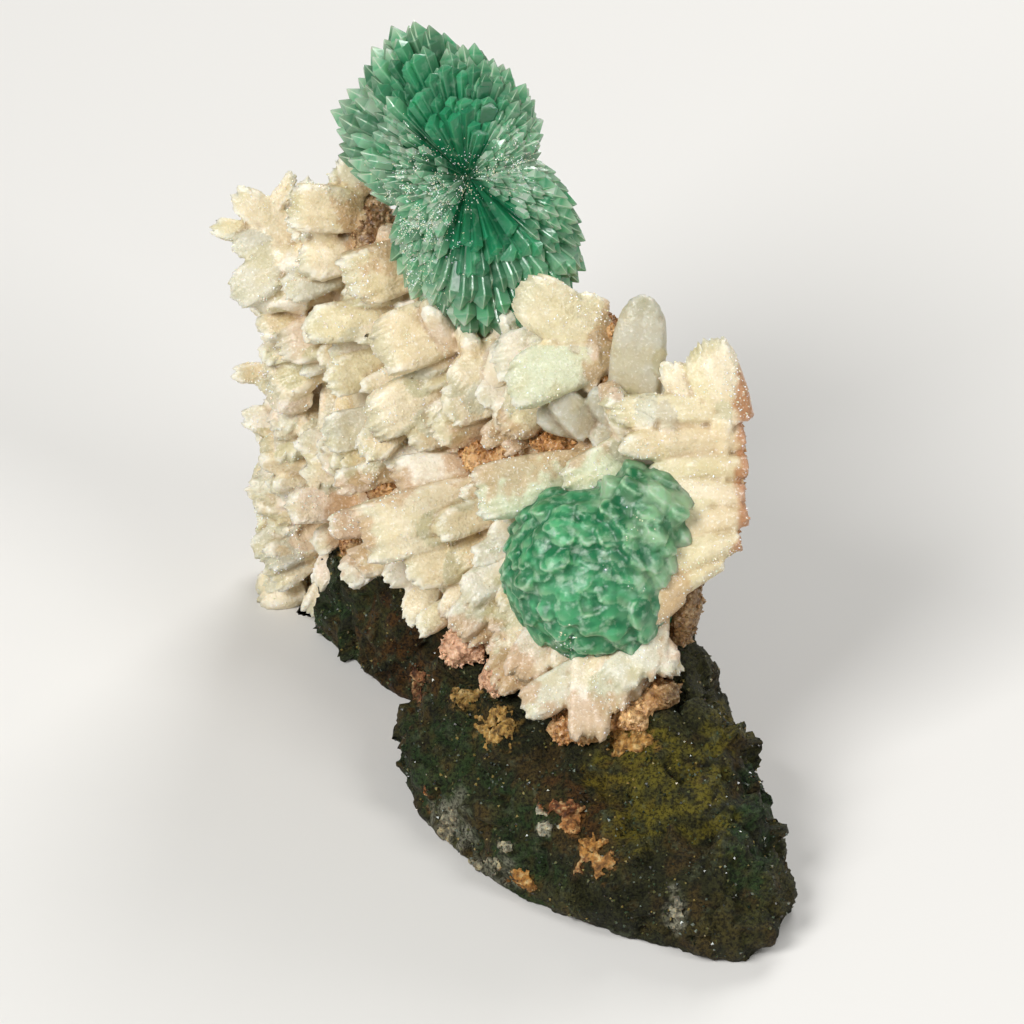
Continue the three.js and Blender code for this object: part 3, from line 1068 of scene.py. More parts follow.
# each ochre or whitish crust with its colour
OCHRE_PATCHES = (
    (Patch(-7.3, 12.0, 3.2, 2.4), "a07c3c"),
    (Patch(-2.4, 7.0, 4.0, 4.2), "b48c46"),
    (Patch(-15.3, 14.2, 1.8, 3.4), "8c5a34"),
    (Patch(10.4, -8.6, 2.6, 3.2), "a06a34"),
    (Patch(13.4, -12.2, 3.0, 2.4), "b07c38"),
    (Patch(15.6, -15.4, 2.2, 3.0), "a8763a"),
    (Patch(11.6, -15.8, 1.6, 1.4), "8e5c2c"),
    (Patch(1.3, -17.5, 2.6, 1.8), "a4702c"),
    (Patch(3.2, -19.0, 1.4, 1.2), "a4702c"),
    (Patch(19.5, 5.2, 4.4, 3.2), "b0803c"),
    (Patch(-27.2, 36.5, 2.4, 2.2), "8c6a30"),
    (Patch(-13.8, -5.0, 1.2, 2.6), "9c6430"),
    (Patch(8.5, -6.0, 4.5, 1.6), "8a5228"),
    (Patch(-10.5, -10.5, 2.2, 5.0), "8f8b74"),
    (Patch(-5.0, -15.5, 3.6, 2.2), "8f8b74"),
    (Patch(5.8, -9.5, 1.6, 1.3), "a9a690"),
    (Patch(-1.0, -12.5, 1.5, 1.2), "9c9880"),
    (Patch(27.5, -23.0, 1.4, 3.4), "a39f88"),
)


@dataclass(frozen=True)
class BasaltMatrix:
    """The block of dark basalt that everything stands on.

    grain is the size of its skin's faces, and middle_y and half_depth tell its front from its back. Moss,
    rust, lichen and pale films lie in patches, and the tail at the lower right is browner.
    """

    node: str = "basalt_matrix"
    grain: float = 0.68
    middle_y: float = 52.0
    half_depth: float = 40.0
    finish: BasaltFinish = BasaltFinish()
    lichen: tuple = (Patch(22, 1, 8, 9), Patch(31, -4, 5, 10), Patch(36, 6, 5, 5), Patch(20, -9, 5, 4))
    moss: tuple = (Patch(-27, 22, 6, 12), Patch(-12, 4, 7, 12), Patch(2, -10, 9, 10), Patch(40, -12, 4, 14))
    rust: tuple = (Patch(-19, 20, 8, 11), Patch(14, -8, 6, 7), Patch(9, -3, 8, 3))
    pale: tuple = (
        Patch(-10, -11, 4.4, 6), Patch(-4, -17, 5, 3), Patch(5.8, -9.5, 2, 1.6), Patch(27.5, -23, 1.8, 4),
    )
    tail: tuple = (Patch(36, -26, 12, 6), Patch(44, -20, 3, 4))

    def tint(self, points: Array) -> Array:
        """Colours the rock.

        Args:
            points: The skin's points.

        Returns:
            One colour for each.
        """
        board = BOARD.read(points)
        ragged = NOISE.layers(points, 6.0, 3)
        cloudy = NOISE.layers(points + 50.0, 14.0, 3)
        colour = mix(RockShade.DARK.colour, RockShade.OLIVE.colour, smooth(-0.3, 0.5, cloudy))
        colour = mix(colour, RockShade.BROWN.colour, 0.6 * smooth(0.15, 0.6, ragged))
        front = smooth(-0.2, 0.3, self.frontness(board))
        mottled = smooth(-0.5, 0.3, NOISE.layers(points + 9.0, 2.6, 3))
        for patches, shade, strength in (
            (self.moss, RockShade.MOSS, 0.8),
            (self.rust, RockShade.RUST, 0.9),
            (self.tail, RockShade.TAIL, 0.6),
            (self.lichen, RockShade.LICHEN, 0.7),
            (self.pale, RockShade.PALE, 0.85),
        ):
            cover = np.max([patch.cover(board, 1.5 * ragged) for patch in patches], axis=0)
            colour = mix(colour, shade.colour, strength * cover * front * mottled)
        dusty = smooth(0.1, 0.5, NOISE.layers(points, 1.6, 3) + 0.4 * ragged)
        for patch, code in OCHRE_PATCHES:
            colour = mix(colour, linear(code), 0.55 * dusty * patch.cover(board, 1.4 * ragged) * front)
        return colour

    def frontness(self, board: Array) -> Array:
        """How far places on the board lie out in front of the rock's middle, about 1 at its front."""
        middle = BOARD.read(np.array([0.0, self.middle_y, 0.0]))
        return (board[:, 2] - middle[2]) / self.half_depth

    def build(self) -> Piece:
        """Makes the rock's skin.

        Returns:
            The piece, still in the cluster's own millimetres, as the other build methods give theirs.
        """
        piece = copy_node(self.node, "basalt_rock")
        fuse(piece, self.grain)
        soften(piece, 4)
        points = points_of(piece)
        chips = Facets(points, 5.5, 31).depth(points) + 0.5 * Facets(points, 2.4, 32).depth(points)
        relief = 0.9 * chips + 0.7 * NOISE.layers(points, 7.0, 2) + 0.22 * NOISE.layers(points, 1.7, 2) - 0.3
        standing = smooth(0.2, 2.5, points[:, 2])
        points = push_out(piece, relief * (0.25 + 0.75 * standing), 0.0)
        paint(piece, self.tint(points))
        dress(piece, self.finish.material())
        return piece


class Facets:
    """Flat chips: each cell of space has its own level, in shares of its size, and slope."""

    SLOPE = 0.3
    LEVEL = 0.16

    def __init__(self, points: Array, size: float, seed: int) -> None:
        """Strews the cells' middles through the box that holds the points.

        Args:
            points: The points that will be read.
            size: The cells' size.
            seed: The start of the draws.
        """
        rng = np.random.default_rng(seed)
        low, high = points.min(axis=0) - size, points.max(axis=0) + size
        counts = np.ceil((high - low) / size).astype(int)
        grid = np.stack(np.meshgrid(*[np.arange(n) for n in counts], indexing="ij"), axis=-1)
        self.size = size
        self.low = low
        self.counts = counts
        self.middles = low + (grid + rng.uniform(0.1, 0.9, size=grid.shape)) * size
        self.slopes = rng.normal(scale=self.SLOPE, size=grid.shape)
        self.levels = rng.uniform(-self.LEVEL, self.LEVEL, size=grid.shape[:3])

    def depth(self, points: Array) -> Array:
        """Reads the chips.

        Args:
            points: One point in each row.

        Returns:
            The height of the chip at each, in the points' own units.
        """
        home = np.floor((points - self.low) / self.size).astype(int)
        best = np.full(len(points), np.inf)
        height = np.zeros(len(points))
        for step in np.ndindex(3, 3, 3):
            cell = np.clip(home + np.array(step) - 1, 0, self.counts - 1)
            key = tuple(cell.T)
            offset = points - self.middles[key]
            distance = np.einsum("ij,ij->i", offset, offset)
            nearer = distance < best
            best = np.where(nearer, distance, best)
            level = self.levels[key] * self.size + np.einsum("ij,ij->i", offset, self.slopes[key])
            height = np.where(nearer, level, height)
        return height


def copy_node(node: str, name: str) -> Piece:
    """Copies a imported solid's mesh.

    Args:
        node: The solid's node.
        name: The copy's name.

    Returns:
        The copy, in the cluster's own millimetres.
    """
    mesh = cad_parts[node].data.copy()
    mesh.transform(Matrix.Translation(Vector(-ROW_ORIGIN)) @ Matrix.Scale(1.0 / MM, 4))
    mesh.materials.clear()
    piece = bpy.data.objects.new(name, mesh)
    bpy.context.scene.collection.objects.link(piece)
    return piece


def hollowness(piece: Piece, rounds: int) -> Array:
    """How deep each point of a skin lies in a crease: below 0 on a ridge, in the skin's own units.

    Args:
        piece: The skin.
        rounds: How far around each point is looked.

    Returns:
        The depth at each point.
    """
    points = points_of(piece)
    pairs = np.empty(2 * len(piece.data.edges), dtype=np.int32)
    piece.data.edges.foreach_get("vertices", pairs)
    first, second = pairs.reshape(-1, 2).T
    count = np.bincount(first, minlength=len(points)) + np.bincount(second, minlength=len(points))
    even = points.copy()
    for _ in range(rounds):
        total = np.zeros_like(even)
        for axis in range(3):
            total[:, axis] += np.bincount(first, even[second, axis], minlength=len(points))
            total[:, axis] += np.bincount(second, even[first, axis], minlength=len(points))
        even = total / np.maximum(count, 1)[:, None]
    return np.einsum("ij,ij->i", even - points, normals_of(piece))


def soften(piece: Piece, rounds: int) -> None:
    """Evens out a skin's steps.

    Args:
        piece: The skin.
        rounds: How often it is smoothed.
    """
    smoother = piece.modifiers.new("soften", "SMOOTH")
    smoother.factor = 0.5
    smoother.iterations = rounds
    bake_down(piece)


@dataclass(frozen=True)
class Grit:
    """Loose grains of every shade that make the rock sandy."""

    grains: int = 3200
    sizes: tuple = (0.15, 0.34)
    shades: tuple = ("1c2418", "38452c", "5c5c34", "8a7a44", "6c7468", "2a2418")
    shares: tuple = (0.3, 0.28, 0.16, 0.1, 0.08, 0.08)
    finish: SugarFinish = SugarFinish("basalt_grit", roughness=0.3)

    def colours(self, spots: Array) -> Array:
        """Draws each grain's shade.

        Args:
            spots: The grains' places.

        Returns:
            One colour for each.
        """
        rng = np.random.default_rng(52)
        picks = rng.choice(len(self.shades), size=len(spots), p=self.shares)
        return np.array([linear(code) for code in self.shades])[picks]

    def build(self, rock: Piece) -> Piece:
        """Strews the grains.

        Args:
            rock: The rock's skin.

        Returns:
            The piece.
        """
        strewn = Sugar(rock, 51)
        ahead = smooth(-0.3, 0.4, strewn.normals @ BOARD.axes[2])
        patchy = smooth(-0.4, 0.5, NOISE.layers(strewn.middles, 5.0, 2))
        shells = Shells()
        strewn.strew(shells, self.grains, self.sizes, (0.3 + ahead) * (0.2 + patchy), self.colours)
        return shells.build("basalt_grit", self.finish.material(), flat=True)


@dataclass(frozen=True)
class OchreCrust:
    """Crumbly ochre patches on the rock. crumbs is how densely they are laid, grain their skin's faces."""

    grain: float = 0.34
    crumbs: float = 34.0
    finish: CrustFinish = CrustFinish("ochre", grain=0.4, dark="5a4020", light="d8c088", roughness=0.85)

    def strew(self, rock: Piece) -> Shells:
        """Lays overlapping crumbs on the rock's skin, thickest in the middle of each patch.

        Args:
            rock: The rock's skin.

        Returns:
            The crumbs.
        """
        points = points_of(rock)
        tree = BVHTree.FromPolygons(points.tolist(), [tuple(p.vertices) for p in rock.data.polygons])
        rng = np.random.default_rng(5)
        shells = Shells()
        out = BOARD.axes[2]
        for patch, code in OCHRE_PATCHES:
            for _ in range(int(self.crumbs * patch.wide * patch.high) + 10):
                turn, reach = rng.uniform(0, 2 * math.pi), math.sqrt(rng.uniform())
                across = patch.across + reach * patch.wide * math.cos(turn)
                rise = patch.rise + reach * patch.high * math.sin(turn)
                start = BOARD.point(across, rise, 90.0)
                if NOISE.layers(start[None, :], 2.0, 3)[0] > 0.25 - 1.1 * (reach - 0.5):
                    continue
                hit, normal, _, _ = tree.ray_cast(Vector(start), Vector(-out))
                if hit is None:
                    continue
                size = rng.uniform(0.3, 0.6) * (1.2 - 0.4 * reach)
                axes = basis(np.array(normal) + rng.normal(scale=0.5, size=3), rng.normal(size=3), 0.0)
                spot = np.array(hit) + np.array(normal) * rng.uniform(-0.2, 0.5) * (1.2 - reach)
                crumb = OCTAHEDRON * [1.0, rng.uniform(0.6, 1.0), 0.5]
                shells.add(crumb * size @ axes + spot, OCTAHEDRON_FACES, linear(code))
        return shells

    def tint(self, points: Array) -> Array:
        """Colours the crumbs by the patch that they lie in, from dark grains to pale ones.

        Args:
            points: The skin's points.

        Returns:
            One colour for each.
        """
        board = BOARD.read(points)
        spots = np.array([[patch.across, patch.rise] for patch, _ in OCHRE_PATCHES])
        codes = np.array([linear(code) for _, code in OCHRE_PATCHES])
        home = np.argmin(np.hypot(*(board[:, None, :2] - spots[None]).transpose(2, 0, 1)), axis=1)
        grains = NOISE.layers(points, 1.2, 3)
        colour = mix(codes[home] * 0.45, codes[home], smooth(-0.5, 0.2, grains))
        return mix(colour, linear("dcc48c"), 0.5 * smooth(0.2, 0.7, grains))

    def build(self, rock: Piece) -> Piece:
        """Makes the crust.

        Args:
            rock: The rock's skin.

        Returns:
            The piece.
        """
        piece = self.strew(rock).build("ochre_crust")
        fuse(piece, self.grain)
        points = push_out(piece, 0.3 * NOISE.layers(points_of(piece), 0.9, 2))
        paint(piece, self.tint(points))
        dress(piece, self.finish.material(), flat=True)
        return piece


# ---- the druse


class DruseShade(Shade):
    """The druse's shades."""

    BROWN = "b07c46"
    TAN = "dab07a"
    PINK = "dcae8e"
    GREY = "6e5638"
    BACK = "6e5a44"


@dataclass(frozen=True)
class DruseCrust:
    """The brown sugary crust between the rock and the stilbite.

    grain is the size of its skin's faces, and sizes the least and greatest half size of the crystals on it.
    """

    node: str = "druse_crust"
    grain: float = 0.9
    crystals: int = 6800
    sizes: tuple = (0.24, 0.55)
    finish: CrustFinish = CrustFinish("druse", grain=0.5, dark="7a5230", light="f0d8b0", roughness=0.35)

    def tint(self, points: Array) -> Array:
        """Colours the crust: pinkish at the lower left, greyer on the right, orange-brown elsewhere.

        Args:
            points: Points of the crust.

        Returns:
            One colour for each.
        """
        across, rise, _ = BOARD.read(points).T
        depth = points[:, 1]
        cloudy = NOISE.layers(points, 5.0, 3)
        colour = mix(DruseShade.BROWN.colour, DruseShade.TAN.colour, smooth(-0.4, 0.5, cloudy))
        pink = smooth(26.0, 22.0, rise) * smooth(6.0, 0.0, across) * smooth(45.0, 25.0, depth)
        grey = smooth(22.0, 27.0, across) * smooth(38.0, 30.0, rise)
        colour = mix(colour, DruseShade.PINK.colour, 0.85 * pink)
        colour = mix(colour, DruseShade.GREY.colour, 0.8 * grey)
        return mix(colour, DruseShade.BACK.colour, 0.65 * smooth(25.0, 45.0, depth))

    def build(self) -> Piece:
        """Makes the crust with the tiny crystals on it.

        Returns:
            The piece.
        """
        base = copy_node(self.node, "druse_base")
        fuse(base, self.grain)
        soften(base, 3)
        points = points_of(base)
        push_out(base, 0.8 * NOISE.layers(points, 5.0, 3) + 0.35 * NOISE.layers(points, 1.6, 2))
        shells = Shells()
        points = points_of(base)
        shells.add(points, [list(p.vertices) for p in base.data.polygons], self.tint(points))
        sugar = Sugar(base, 21)
        ahead = smooth(-0.4, 0.4, sugar.normals @ BOARD.axes[2])
        weight = (0.35 + smooth(-0.2, 0.5, NOISE.layers(sugar.middles, 7.0, 2))) * (0.5 + ahead)
        rng = np.random.default_rng(22)

        def colour(spots: Array) -> Array:
            """Gives each crystal its shade of the crust's own colour."""
            return self.tint(spots) * rng.uniform(0.7, 1.5, size=(len(spots), 1))

        sugar.strew(shells, self.crystals, self.sizes, weight, colour)
        bpy.data.objects.remove(base)
        return shells.build("druse_crust_skin", self.finish.material(), flat=True)


# ---- the stilbite


class Tint(Shade):
    """The stilbite's shades: blades, roots, tips, stains, painted shade in creases and painted highlight on
    ridges.
    """

    CREAM = "ebdec0"
    WARM = "e5d4b0"
    WHITE = "efe7d5"
    YELLOW = "e5dab6"
    GREENISH = "dadebf"
    CLEAR = "d7d2bd"
    ROSY = "e9d7c0"
    ROOT = "dcc49a"
    TIP = "bcbc9c"
    CLOUD = "d4c48c"
    # painted shade for the creases and painted highlight for the ridges
    CREASE_SHADE = "a8875a"
    DEEP_CREASE_SHADE = "6a4c2e"
    RIDGE_HIGHLIGHT = "fffdf4"
    RIM = "b06a34"
    STAIN = "b98a54"


@dataclass(frozen=True)
class BladeGroup:
    """Blades laid out on the board: root across, root rise, heading in degrees, length and width."""

    name: str
    lean: float
    raised: float
    shades: tuple
    rows: tuple
    flatness: float = 0.64
    bare: bool = False
    clear: bool = False


BLADE_GROUPS = (
    BladeGroup("left_tips", 12, 0, (Tint.CREAM, Tint.CLEAR, Tint.YELLOW), (
        (-41.3, 89.2, 167, 9.1, 3.9), (-36.7, 89.2, 141, 12.4, 5.6), (-41.3, 92.5, 55, 9.7, 2.8),
        (-35, 94.2, 69, 5.2, 3.2), (-37.5, 89.7, 196, 9.9, 4.8), (-35, 86.7, 214, 14.3, 7.5),
        (-37.5, 80.8, 232, 6.2, 5.2), (-33.5, 91.5, 100, 5, 6),
    )),
    BladeGroup("left_crown", 22, 1.5, (Tint.CREAM, Tint.CLEAR, Tint.WARM), (
        (-25.3, 93.8, 176, 13, 8), (-27, 86.7, 195, 9.3, 7), (-30, 89.2, 175, 5.5, 3.6),
        (-29.2, 83.7, 203, 10.3, 6.2), (-25.5, 96.3, 137, 6.4, 3.8), (-24.2, 96.7, 121, 7.8, 4.2),
        (-26.7, 85.7, 59, 11.6, 5.2),
    )),
    BladeGroup("left_column", 18, 1.5, (Tint.WHITE, Tint.ROSY, Tint.CREAM, Tint.CLEAR), (
        (-36.3, 65.3, 168, 4.8, 5), (-30.3, 73.3, 197, 9.9, 7.5), (-29.7, 69.7, 195, 6.4, 5),
        (-34.7, 63, 283, 16.6, 4.6), (-22.7, 57.7, 192, 9.4, 7), (-23.3, 59.5, 238, 7.5, 3.2),
        (-25.3, 50.7, 158, 7.2, 6), (-20.3, 49.7, 192, 9.7, 4.9), (-34.5, 60.8, 219, 7.5, 6.5),
        (-34.7, 52.5, 171, 5.2, 4.2), (-33, 49.3, 195, 7.9, 5.9), (-27.2, 44.3, 183, 11.3, 6.4),
        (-35.5, 43.7, 215, 6.7, 6), (-33.7, 39.5, 205, 10.8, 7.5), (-33, 37, 216, 10.3, 5.6),
        (-28, 41, 219, 6.6, 5), (-29, 37.7, 249, 8.5, 4.5), (-37.5, 76.7, 240, 5.7, 5),
        (-35.7, 64.3, 252, 7.3, 3.7), (-30, 61.7, 270, 9.2, 4.3),
    )),
    BladeGroup("upper_face", 22, 1.5, (Tint.YELLOW, Tint.CREAM, Tint.WARM), (
        (-16.3, 85.3, 199, 13.2, 9.1), (-21.7, 75.8, 188, 13.5, 7.1), (-10.8, 74.2, 199, 13.7, 10.1),
        (-22, 67.3, 192, 9.7, 6.3), (-13, 64.2, 212, 13.7, 9.5), (-16.3, 61.7, 229, 13.7, 6.2),
        (-4.2, 58, 191, 9.5, 6.3), (-3, 69, 221, 9.3, 7.1), (-1.7, 62.8, 197, 10.9, 6.6),
        (5.8, 62, 219, 9.7, 7.6),
    )),
    BladeGroup("under_spray", 22, 1.5, (Tint.GREENISH, Tint.WHITE), (
        (7.7, 71, 195, 11.7, 7.1), (16.2, 70.3, 203, 19.3, 9.1),
    )),
    BladeGroup("thumb", 22, 3, (Tint.YELLOW,), (
        (13.5, 72, 146, 15.5, 10.4), (16, 76.2, 159, 6, 4),
    )),
    BladeGroup("clear_tips", 18, 2, (Tint.CLEAR,), (
        (13, 56.3, 130, 9.2, 6.3), (17.8, 59.2, 134, 6.5, 6.2), (20.4, 60.6, 84, 19.4, 10.2),
        (11.2, 57.3, 160, 7.5, 6.1), (16.3, 56.7, 236, 4.4, 4.2), (21.7, 57, 228, 5.4, 4.6),
    ), clear=True),
    BladeGroup("right_fan", 9, 5, (Tint.CREAM, Tint.WARM, Tint.YELLOW), (
        (36.4, 61.7, 110, 10.8, 7.8), (29.7, 61.3, 122, 7.7, 5.0), (33.4, 61.7, 109, 8.7, 5.8),
        (34.0, 60, 181, 18.1, 5.8), (34.8, 55.0, 184, 17.1, 5.6), (35.4, 50.4, 182, 12.4, 5.0),
        (34.8, 46.0, 177, 11.1, 5.0), (35.4, 41.8, 192, 8.5, 5.0), (32.4, 45, 210, 7.1, 4.8),
        (34.2, 37.4, 199, 12.9, 5.6), (31.6, 33.4, 208, 11.5, 5.2), (28.4, 29.6, 214, 9.0, 4.6),
    ), flatness=0.95, bare=True),
    BladeGroup("middle_face", 21, 2, (Tint.CREAM, Tint.WHITE, Tint.WARM), (
        (3, 55, 203, 5, 2.8), (-7.2, 50, 184, 13, 7.4), (-15, 47.2, 202, 6.3, 3.2),
        (-6.3, 44.3, 197, 20.7, 9.8), (-3, 43.7, 201, 10.9, 6.1), (-7.3, 35, 194, 11.3, 6.1),
        (1, 39.3, 205, 4.9, 3.6), (-0.7, 34.5, 221, 9.7, 6.8), (-8, 30.3, 231, 6.4, 3.4),
        (-3, 30, 226, 9.9, 6.3), (0, 31, 191, 4.3, 2.9), (-0.7, 26.5, 242, 4.4, 2.8),
    )),
    BladeGroup("beside_ball", 20, 2.5, (Tint.GREENISH,), (
        (10, 48.7, 193, 16.7, 9.6), (17.8, 52, 207, 10.7, 7.6),
    )),
    BladeGroup("skirt", 18, 2.5, (Tint.WHITE, Tint.ROSY, Tint.CLEAR), (
        (5.8, 22, 239, 8.5, 7.3), (9.3, 21.2, 256, 5, 4.2), (11.2, 15.3, 211, 11, 6.8),
        (13.7, 15.3, 270, 10.3, 6.6), (15.3, 17, 277, 7.5, 7.5), (22, 19.7, 228, 8.5, 6.8),
        (24.2, 20.3, 309, 4.9, 5.4), (23.7, 24.7, 262, 10, 5.8),
    )),
)


# where the druse stains the blades: across, rise and half sizes on the board
DRUSE_STAINS = (
    (-23, 91, 4.5, 6), (16.8, 73, 2, 3.4), (15.8, 66.5, 2.2, 4), (-1.5, 52.5, 8.5, 4.6),
    (8.5, 54.5, 5.5, 2.8), (-27, 40, 3, 6.5), (-21, 47, 4, 2.2), (-7, 20.5, 5, 4.4),
    (-0.5, 15.5, 5, 4.4), (12, 7, 6.5, 4.2), (20, 8.5, 5.5, 3.8), (25.5, 12.5, 3.6, 3.4),
    (28.5, 27, 3.2, 6.5),
)


@dataclass
class StilbiteWall:
    """The wall's cream stilbite: intergrown blades on a common ground, made in bands along X.

    grain is the size of its skin's faces. Blades start root_depth behind the face and root_start before their
    visible root, and are slim by that share of the width laid out. sugar is how many grains lie on the bands,
    and sugar_sizes their least and greatest half size.
    """

    node: str = "stilbite_crystals"
    grain: float = 0.46
    root_depth: float = 4.5
    root_start: float = 4.0
    slim: float = 0.93
    bands: tuple = ((-38.0, -19.0), (-21.0, 4.0), (2.0, 38.5))
    sugar: int = 7200
    sugar_sizes: tuple = (0.09, 0.21)
    milky: StilbiteFinish = StilbiteFinish()
    clear: StilbiteFinish = StilbiteFinish("stilbite_clear", glow=0.5, reach=3.5, clear=0.3)
    glitter: SugarFinish = SugarFinish("stilbite_sugar")
    blades: list[Blade] = field(default_factory=list)
    rng: Draws = field(default_factory=lambda: np.random.default_rng(3))

    def lay_out(self) -> None:
        """Places every blade: those laid out on the board, small ones between them and the hidden ones."""
        for group in BLADE_GROUPS:
            for across, rise, heading, length, width in group.rows:
                shade = group.shades[self.rng.integers(len(group.shades))]
                self.grow(group, (across, rise, heading, length, width), shade.colour)
            LOG.info("stilbite %s: %d blades", group.name, len(group.rows))
        self.fill_in()
        self.fill_ends()

    def grow(self, group: BladeGroup, row: tuple, colour: Array) -> None:
        """Adds one blade of a group.

        Args:
            group: The group, for its lean and height out of the face.
            row: Root across, root rise, heading, length and width.
            colour: The blade's colour.
        """
        across, rise, heading, length, width = row
        direction = BOARD.direction(heading, group.lean + self.rng.uniform(-4, 4))
        stained = self.stain(np.array([[across, rise]]), np.zeros(1))[0]
        start = self.root_start * (1.0 - stained)
        out = group.raised - self.root_depth
        root = WALL.behind(across, rise) + BOARD.axes[2] * out - direction * start
        roll = self.rng.uniform(-0.25, 0.25)
        traits = {"flatness": group.flatness, "clear": group.clear, "bare": group.bare}
        self.blades.append(Blade(root, direction, length + start, self.slim * width, colour, roll, **traits))

    def fill_in(self) -> None:
        """Fills the face between the large blades with small ones that follow their headings."""
        rng = self.rng
        known = np.array([(*row[:3], group.bare) for group in BLADE_GROUPS for row in group.rows])
        shades = (Tint.CREAM, Tint.WARM, Tint.WHITE, Tint.YELLOW)
        filler = BladeGroup("filler", 19, -1.6, shades, ())
        apart, shift = 4.9, 1.6
        for across in np.arange(-36, 38, apart):
            for rise in np.arange(18, 98, apart):
                spot = np.array([across + rng.uniform(-shift, shift), rise + rng.uniform(-shift, shift)])
                place = WALL.behind(spot[0], spot[1])
                foot = float(WALL.value("foot", spot[0]) + WALL.value("hem", spot[0]))
                crest = float(WALL.value("crest", spot[0]))
                if not foot + 1.0 < place[2] < crest - 1.0:
                    continue
                nearest = known[np.argmin(np.hypot(known[:, 0] - spot[0], known[:, 1] - spot[1]))]
                stained = self.stain(spot[None, :], np.zeros(1))[0] > 0.5
                if nearest[3] or stained:
                    continue
                heading = nearest[2] + rng.uniform(-20, 20)
                row = (spot[0], spot[1], heading, rng.uniform(7.5, 11.0), rng.uniform(3.8, 6.0))
                self.grow(filler, row, filler.shades[rng.integers(len(filler.shades))].colour)

    def fill_ends(self) -> None:
        """Covers the wall's left end and its crest, which the board doesn't show."""
        rng = self.rng
        up = np.array([0.0, 0.0, 1.0])
        shades = (Tint.CREAM, Tint.WHITE, Tint.ROSY, Tint.WARM)

        def add(root: Array, direction: Array, facing: Array) -> None:
            """Adds one blade of a drawn size."""
            drawn = (rng.uniform(6, 9.5), rng.uniform(4.5, 7.5), shades[rng.integers(len(shades))].colour)
            self.blades.append(Blade(root, unit(direction), *drawn, rng.uniform(-0.6, 0.6), facing))

        left_end = WALL.x[0] + 4
        for z in np.arange(4, 74, 4.4):
            for y in (0.5, 5.5, 10.0):
                x = left_end + rng.uniform(-1, 1)
                root = np.array([x, float(WALL.face(x, z)) + y, z + rng.uniform(-1.5, 1.5)])
                add(root, np.array([-1.0, rng.uniform(-0.5, 0.5), rng.uniform(-0.5, 0.4)]), up)
        spray_x = -4.0
        for x in np.arange(-34, 38, 4.0):
            for back, sunk in ((2.0, 5.0), (6.5, 0.0)):
                under_spray = sunk * float(smooth(10.0, 7.0, abs(x - spray_x)))
                z = float(WALL.value("crest", x)) - 5.5 - 0.35 * back - under_spray
                root = np.array([x + rng.uniform(-1, 1), float(WALL.face(x, z)) + back, z])
                add(root, np.array([rng.uniform(-0.5, 0.5), rng.uniform(-0.1, 0.7), 1.0]), BOARD.axes[0])

    def ground(self, low: float, high: float) -> Solid:
        """The blades' common ground between two places along X.

        Args:
            low: Where it starts.
            high: Where it ends.

        Returns:
            Its points and faces.
        """
        climb = np.linspace(0.0, 1.0, 40)
        rings = []
        for x in np.linspace(low, high, 24):
            foot = WALL.value("foot", x) + WALL.value("hem", x)
            z = foot + climb * (WALL.value("crest", x) - foot)
            flat = np.full_like(z, x)
            spots = np.column_stack([flat, 0 * z, z])
            sunk = 1.6 * self.stain(BOARD.read(np.column_stack([flat, WALL.face(flat, z), z])), 0.0 * z)
            front = WALL.face(flat, z) + WALL.value("ground", x) + 0.9 * NOISE.layers(spots, 6.0, 2) + sunk
            back = WALL.face(flat, z) + WALL.value("inset", x) + 1.5
            forward = np.column_stack([flat, front, z])
            rings.append(np.concatenate([forward, np.column_stack([flat, back, z])[::-1]]))
        middles = [rings[0].mean(axis=0)[None, :], rings[-1].mean(axis=0)[None, :]]
        return np.concatenate([*rings, *middles]), ring_faces(len(rings), 2 * len(climb))

    def nearest(self, points: Array) -> tuple[Array, Array, Array]:
        """Finds each point's nearest blade.

        Args:
            points: The skin's points.

        Returns:
            That blade's number, and the point's share of its length and its place across it.
        """
        best = np.full(len(points), np.inf)
        owner = np.zeros(len(points), dtype=int)
        share = np.zeros(len(points))
        wide = np.zeros(len(points))
        for number, blade in enumerate(self.blades):
            reach = blade.length + blade.width
            close = np.nonzero(np.abs(points - blade.root).max(axis=1) < reach)[0]
            near, along, across = blade.reading(points[close])
            better = near < best[close]
            rows = close[better]
            best[rows] = near[better]
            owner[rows] = number
            share[rows] = along[better]
            wide[rows] = across[better]
        return owner, share, wide

    def tint(self, points: Array, owner: Array, share: Array, hollow: Array) -> Array:
        """Colours a skin by its blades, with warm roots, greenish tips, painted brown shade in creases and
        painted highlight on ridges.

        Args:
            points: The skin's points.
            owner: The number of each point's blade.
            share: Its share of that blade's length.
            hollow: How deep it lies in a crease, below 0 on a ridge.

        Returns:
            One colour for each.
        """
        cloudy = NOISE.layers(points, 5.0, 3)
        colour = np.array([blade.colour for blade in self.blades])[owner]
        for shade, strength, cover in (
            (Tint.ROOT, 0.35, smooth(0.5, 0.2, share)),
            (Tint.TIP, 0.55, smooth(0.8, 0.97, share)),
            (Tint.CLOUD, 0.3, smooth(0.0, 0.6, cloudy)),
            # painted shade in the creases and painted highlight on the ridges
            (Tint.CREASE_SHADE, 0.5, smooth(0.03, 0.14, hollow)),
            (Tint.DEEP_CREASE_SHADE, 0.6, smooth(0.14, 0.32, hollow)),
            (Tint.RIDGE_HIGHLIGHT, 0.5, smooth(-0.06, -0.18, hollow)),
        ):
            colour = mix(colour, shade.colour, strength * cover)
        return colour

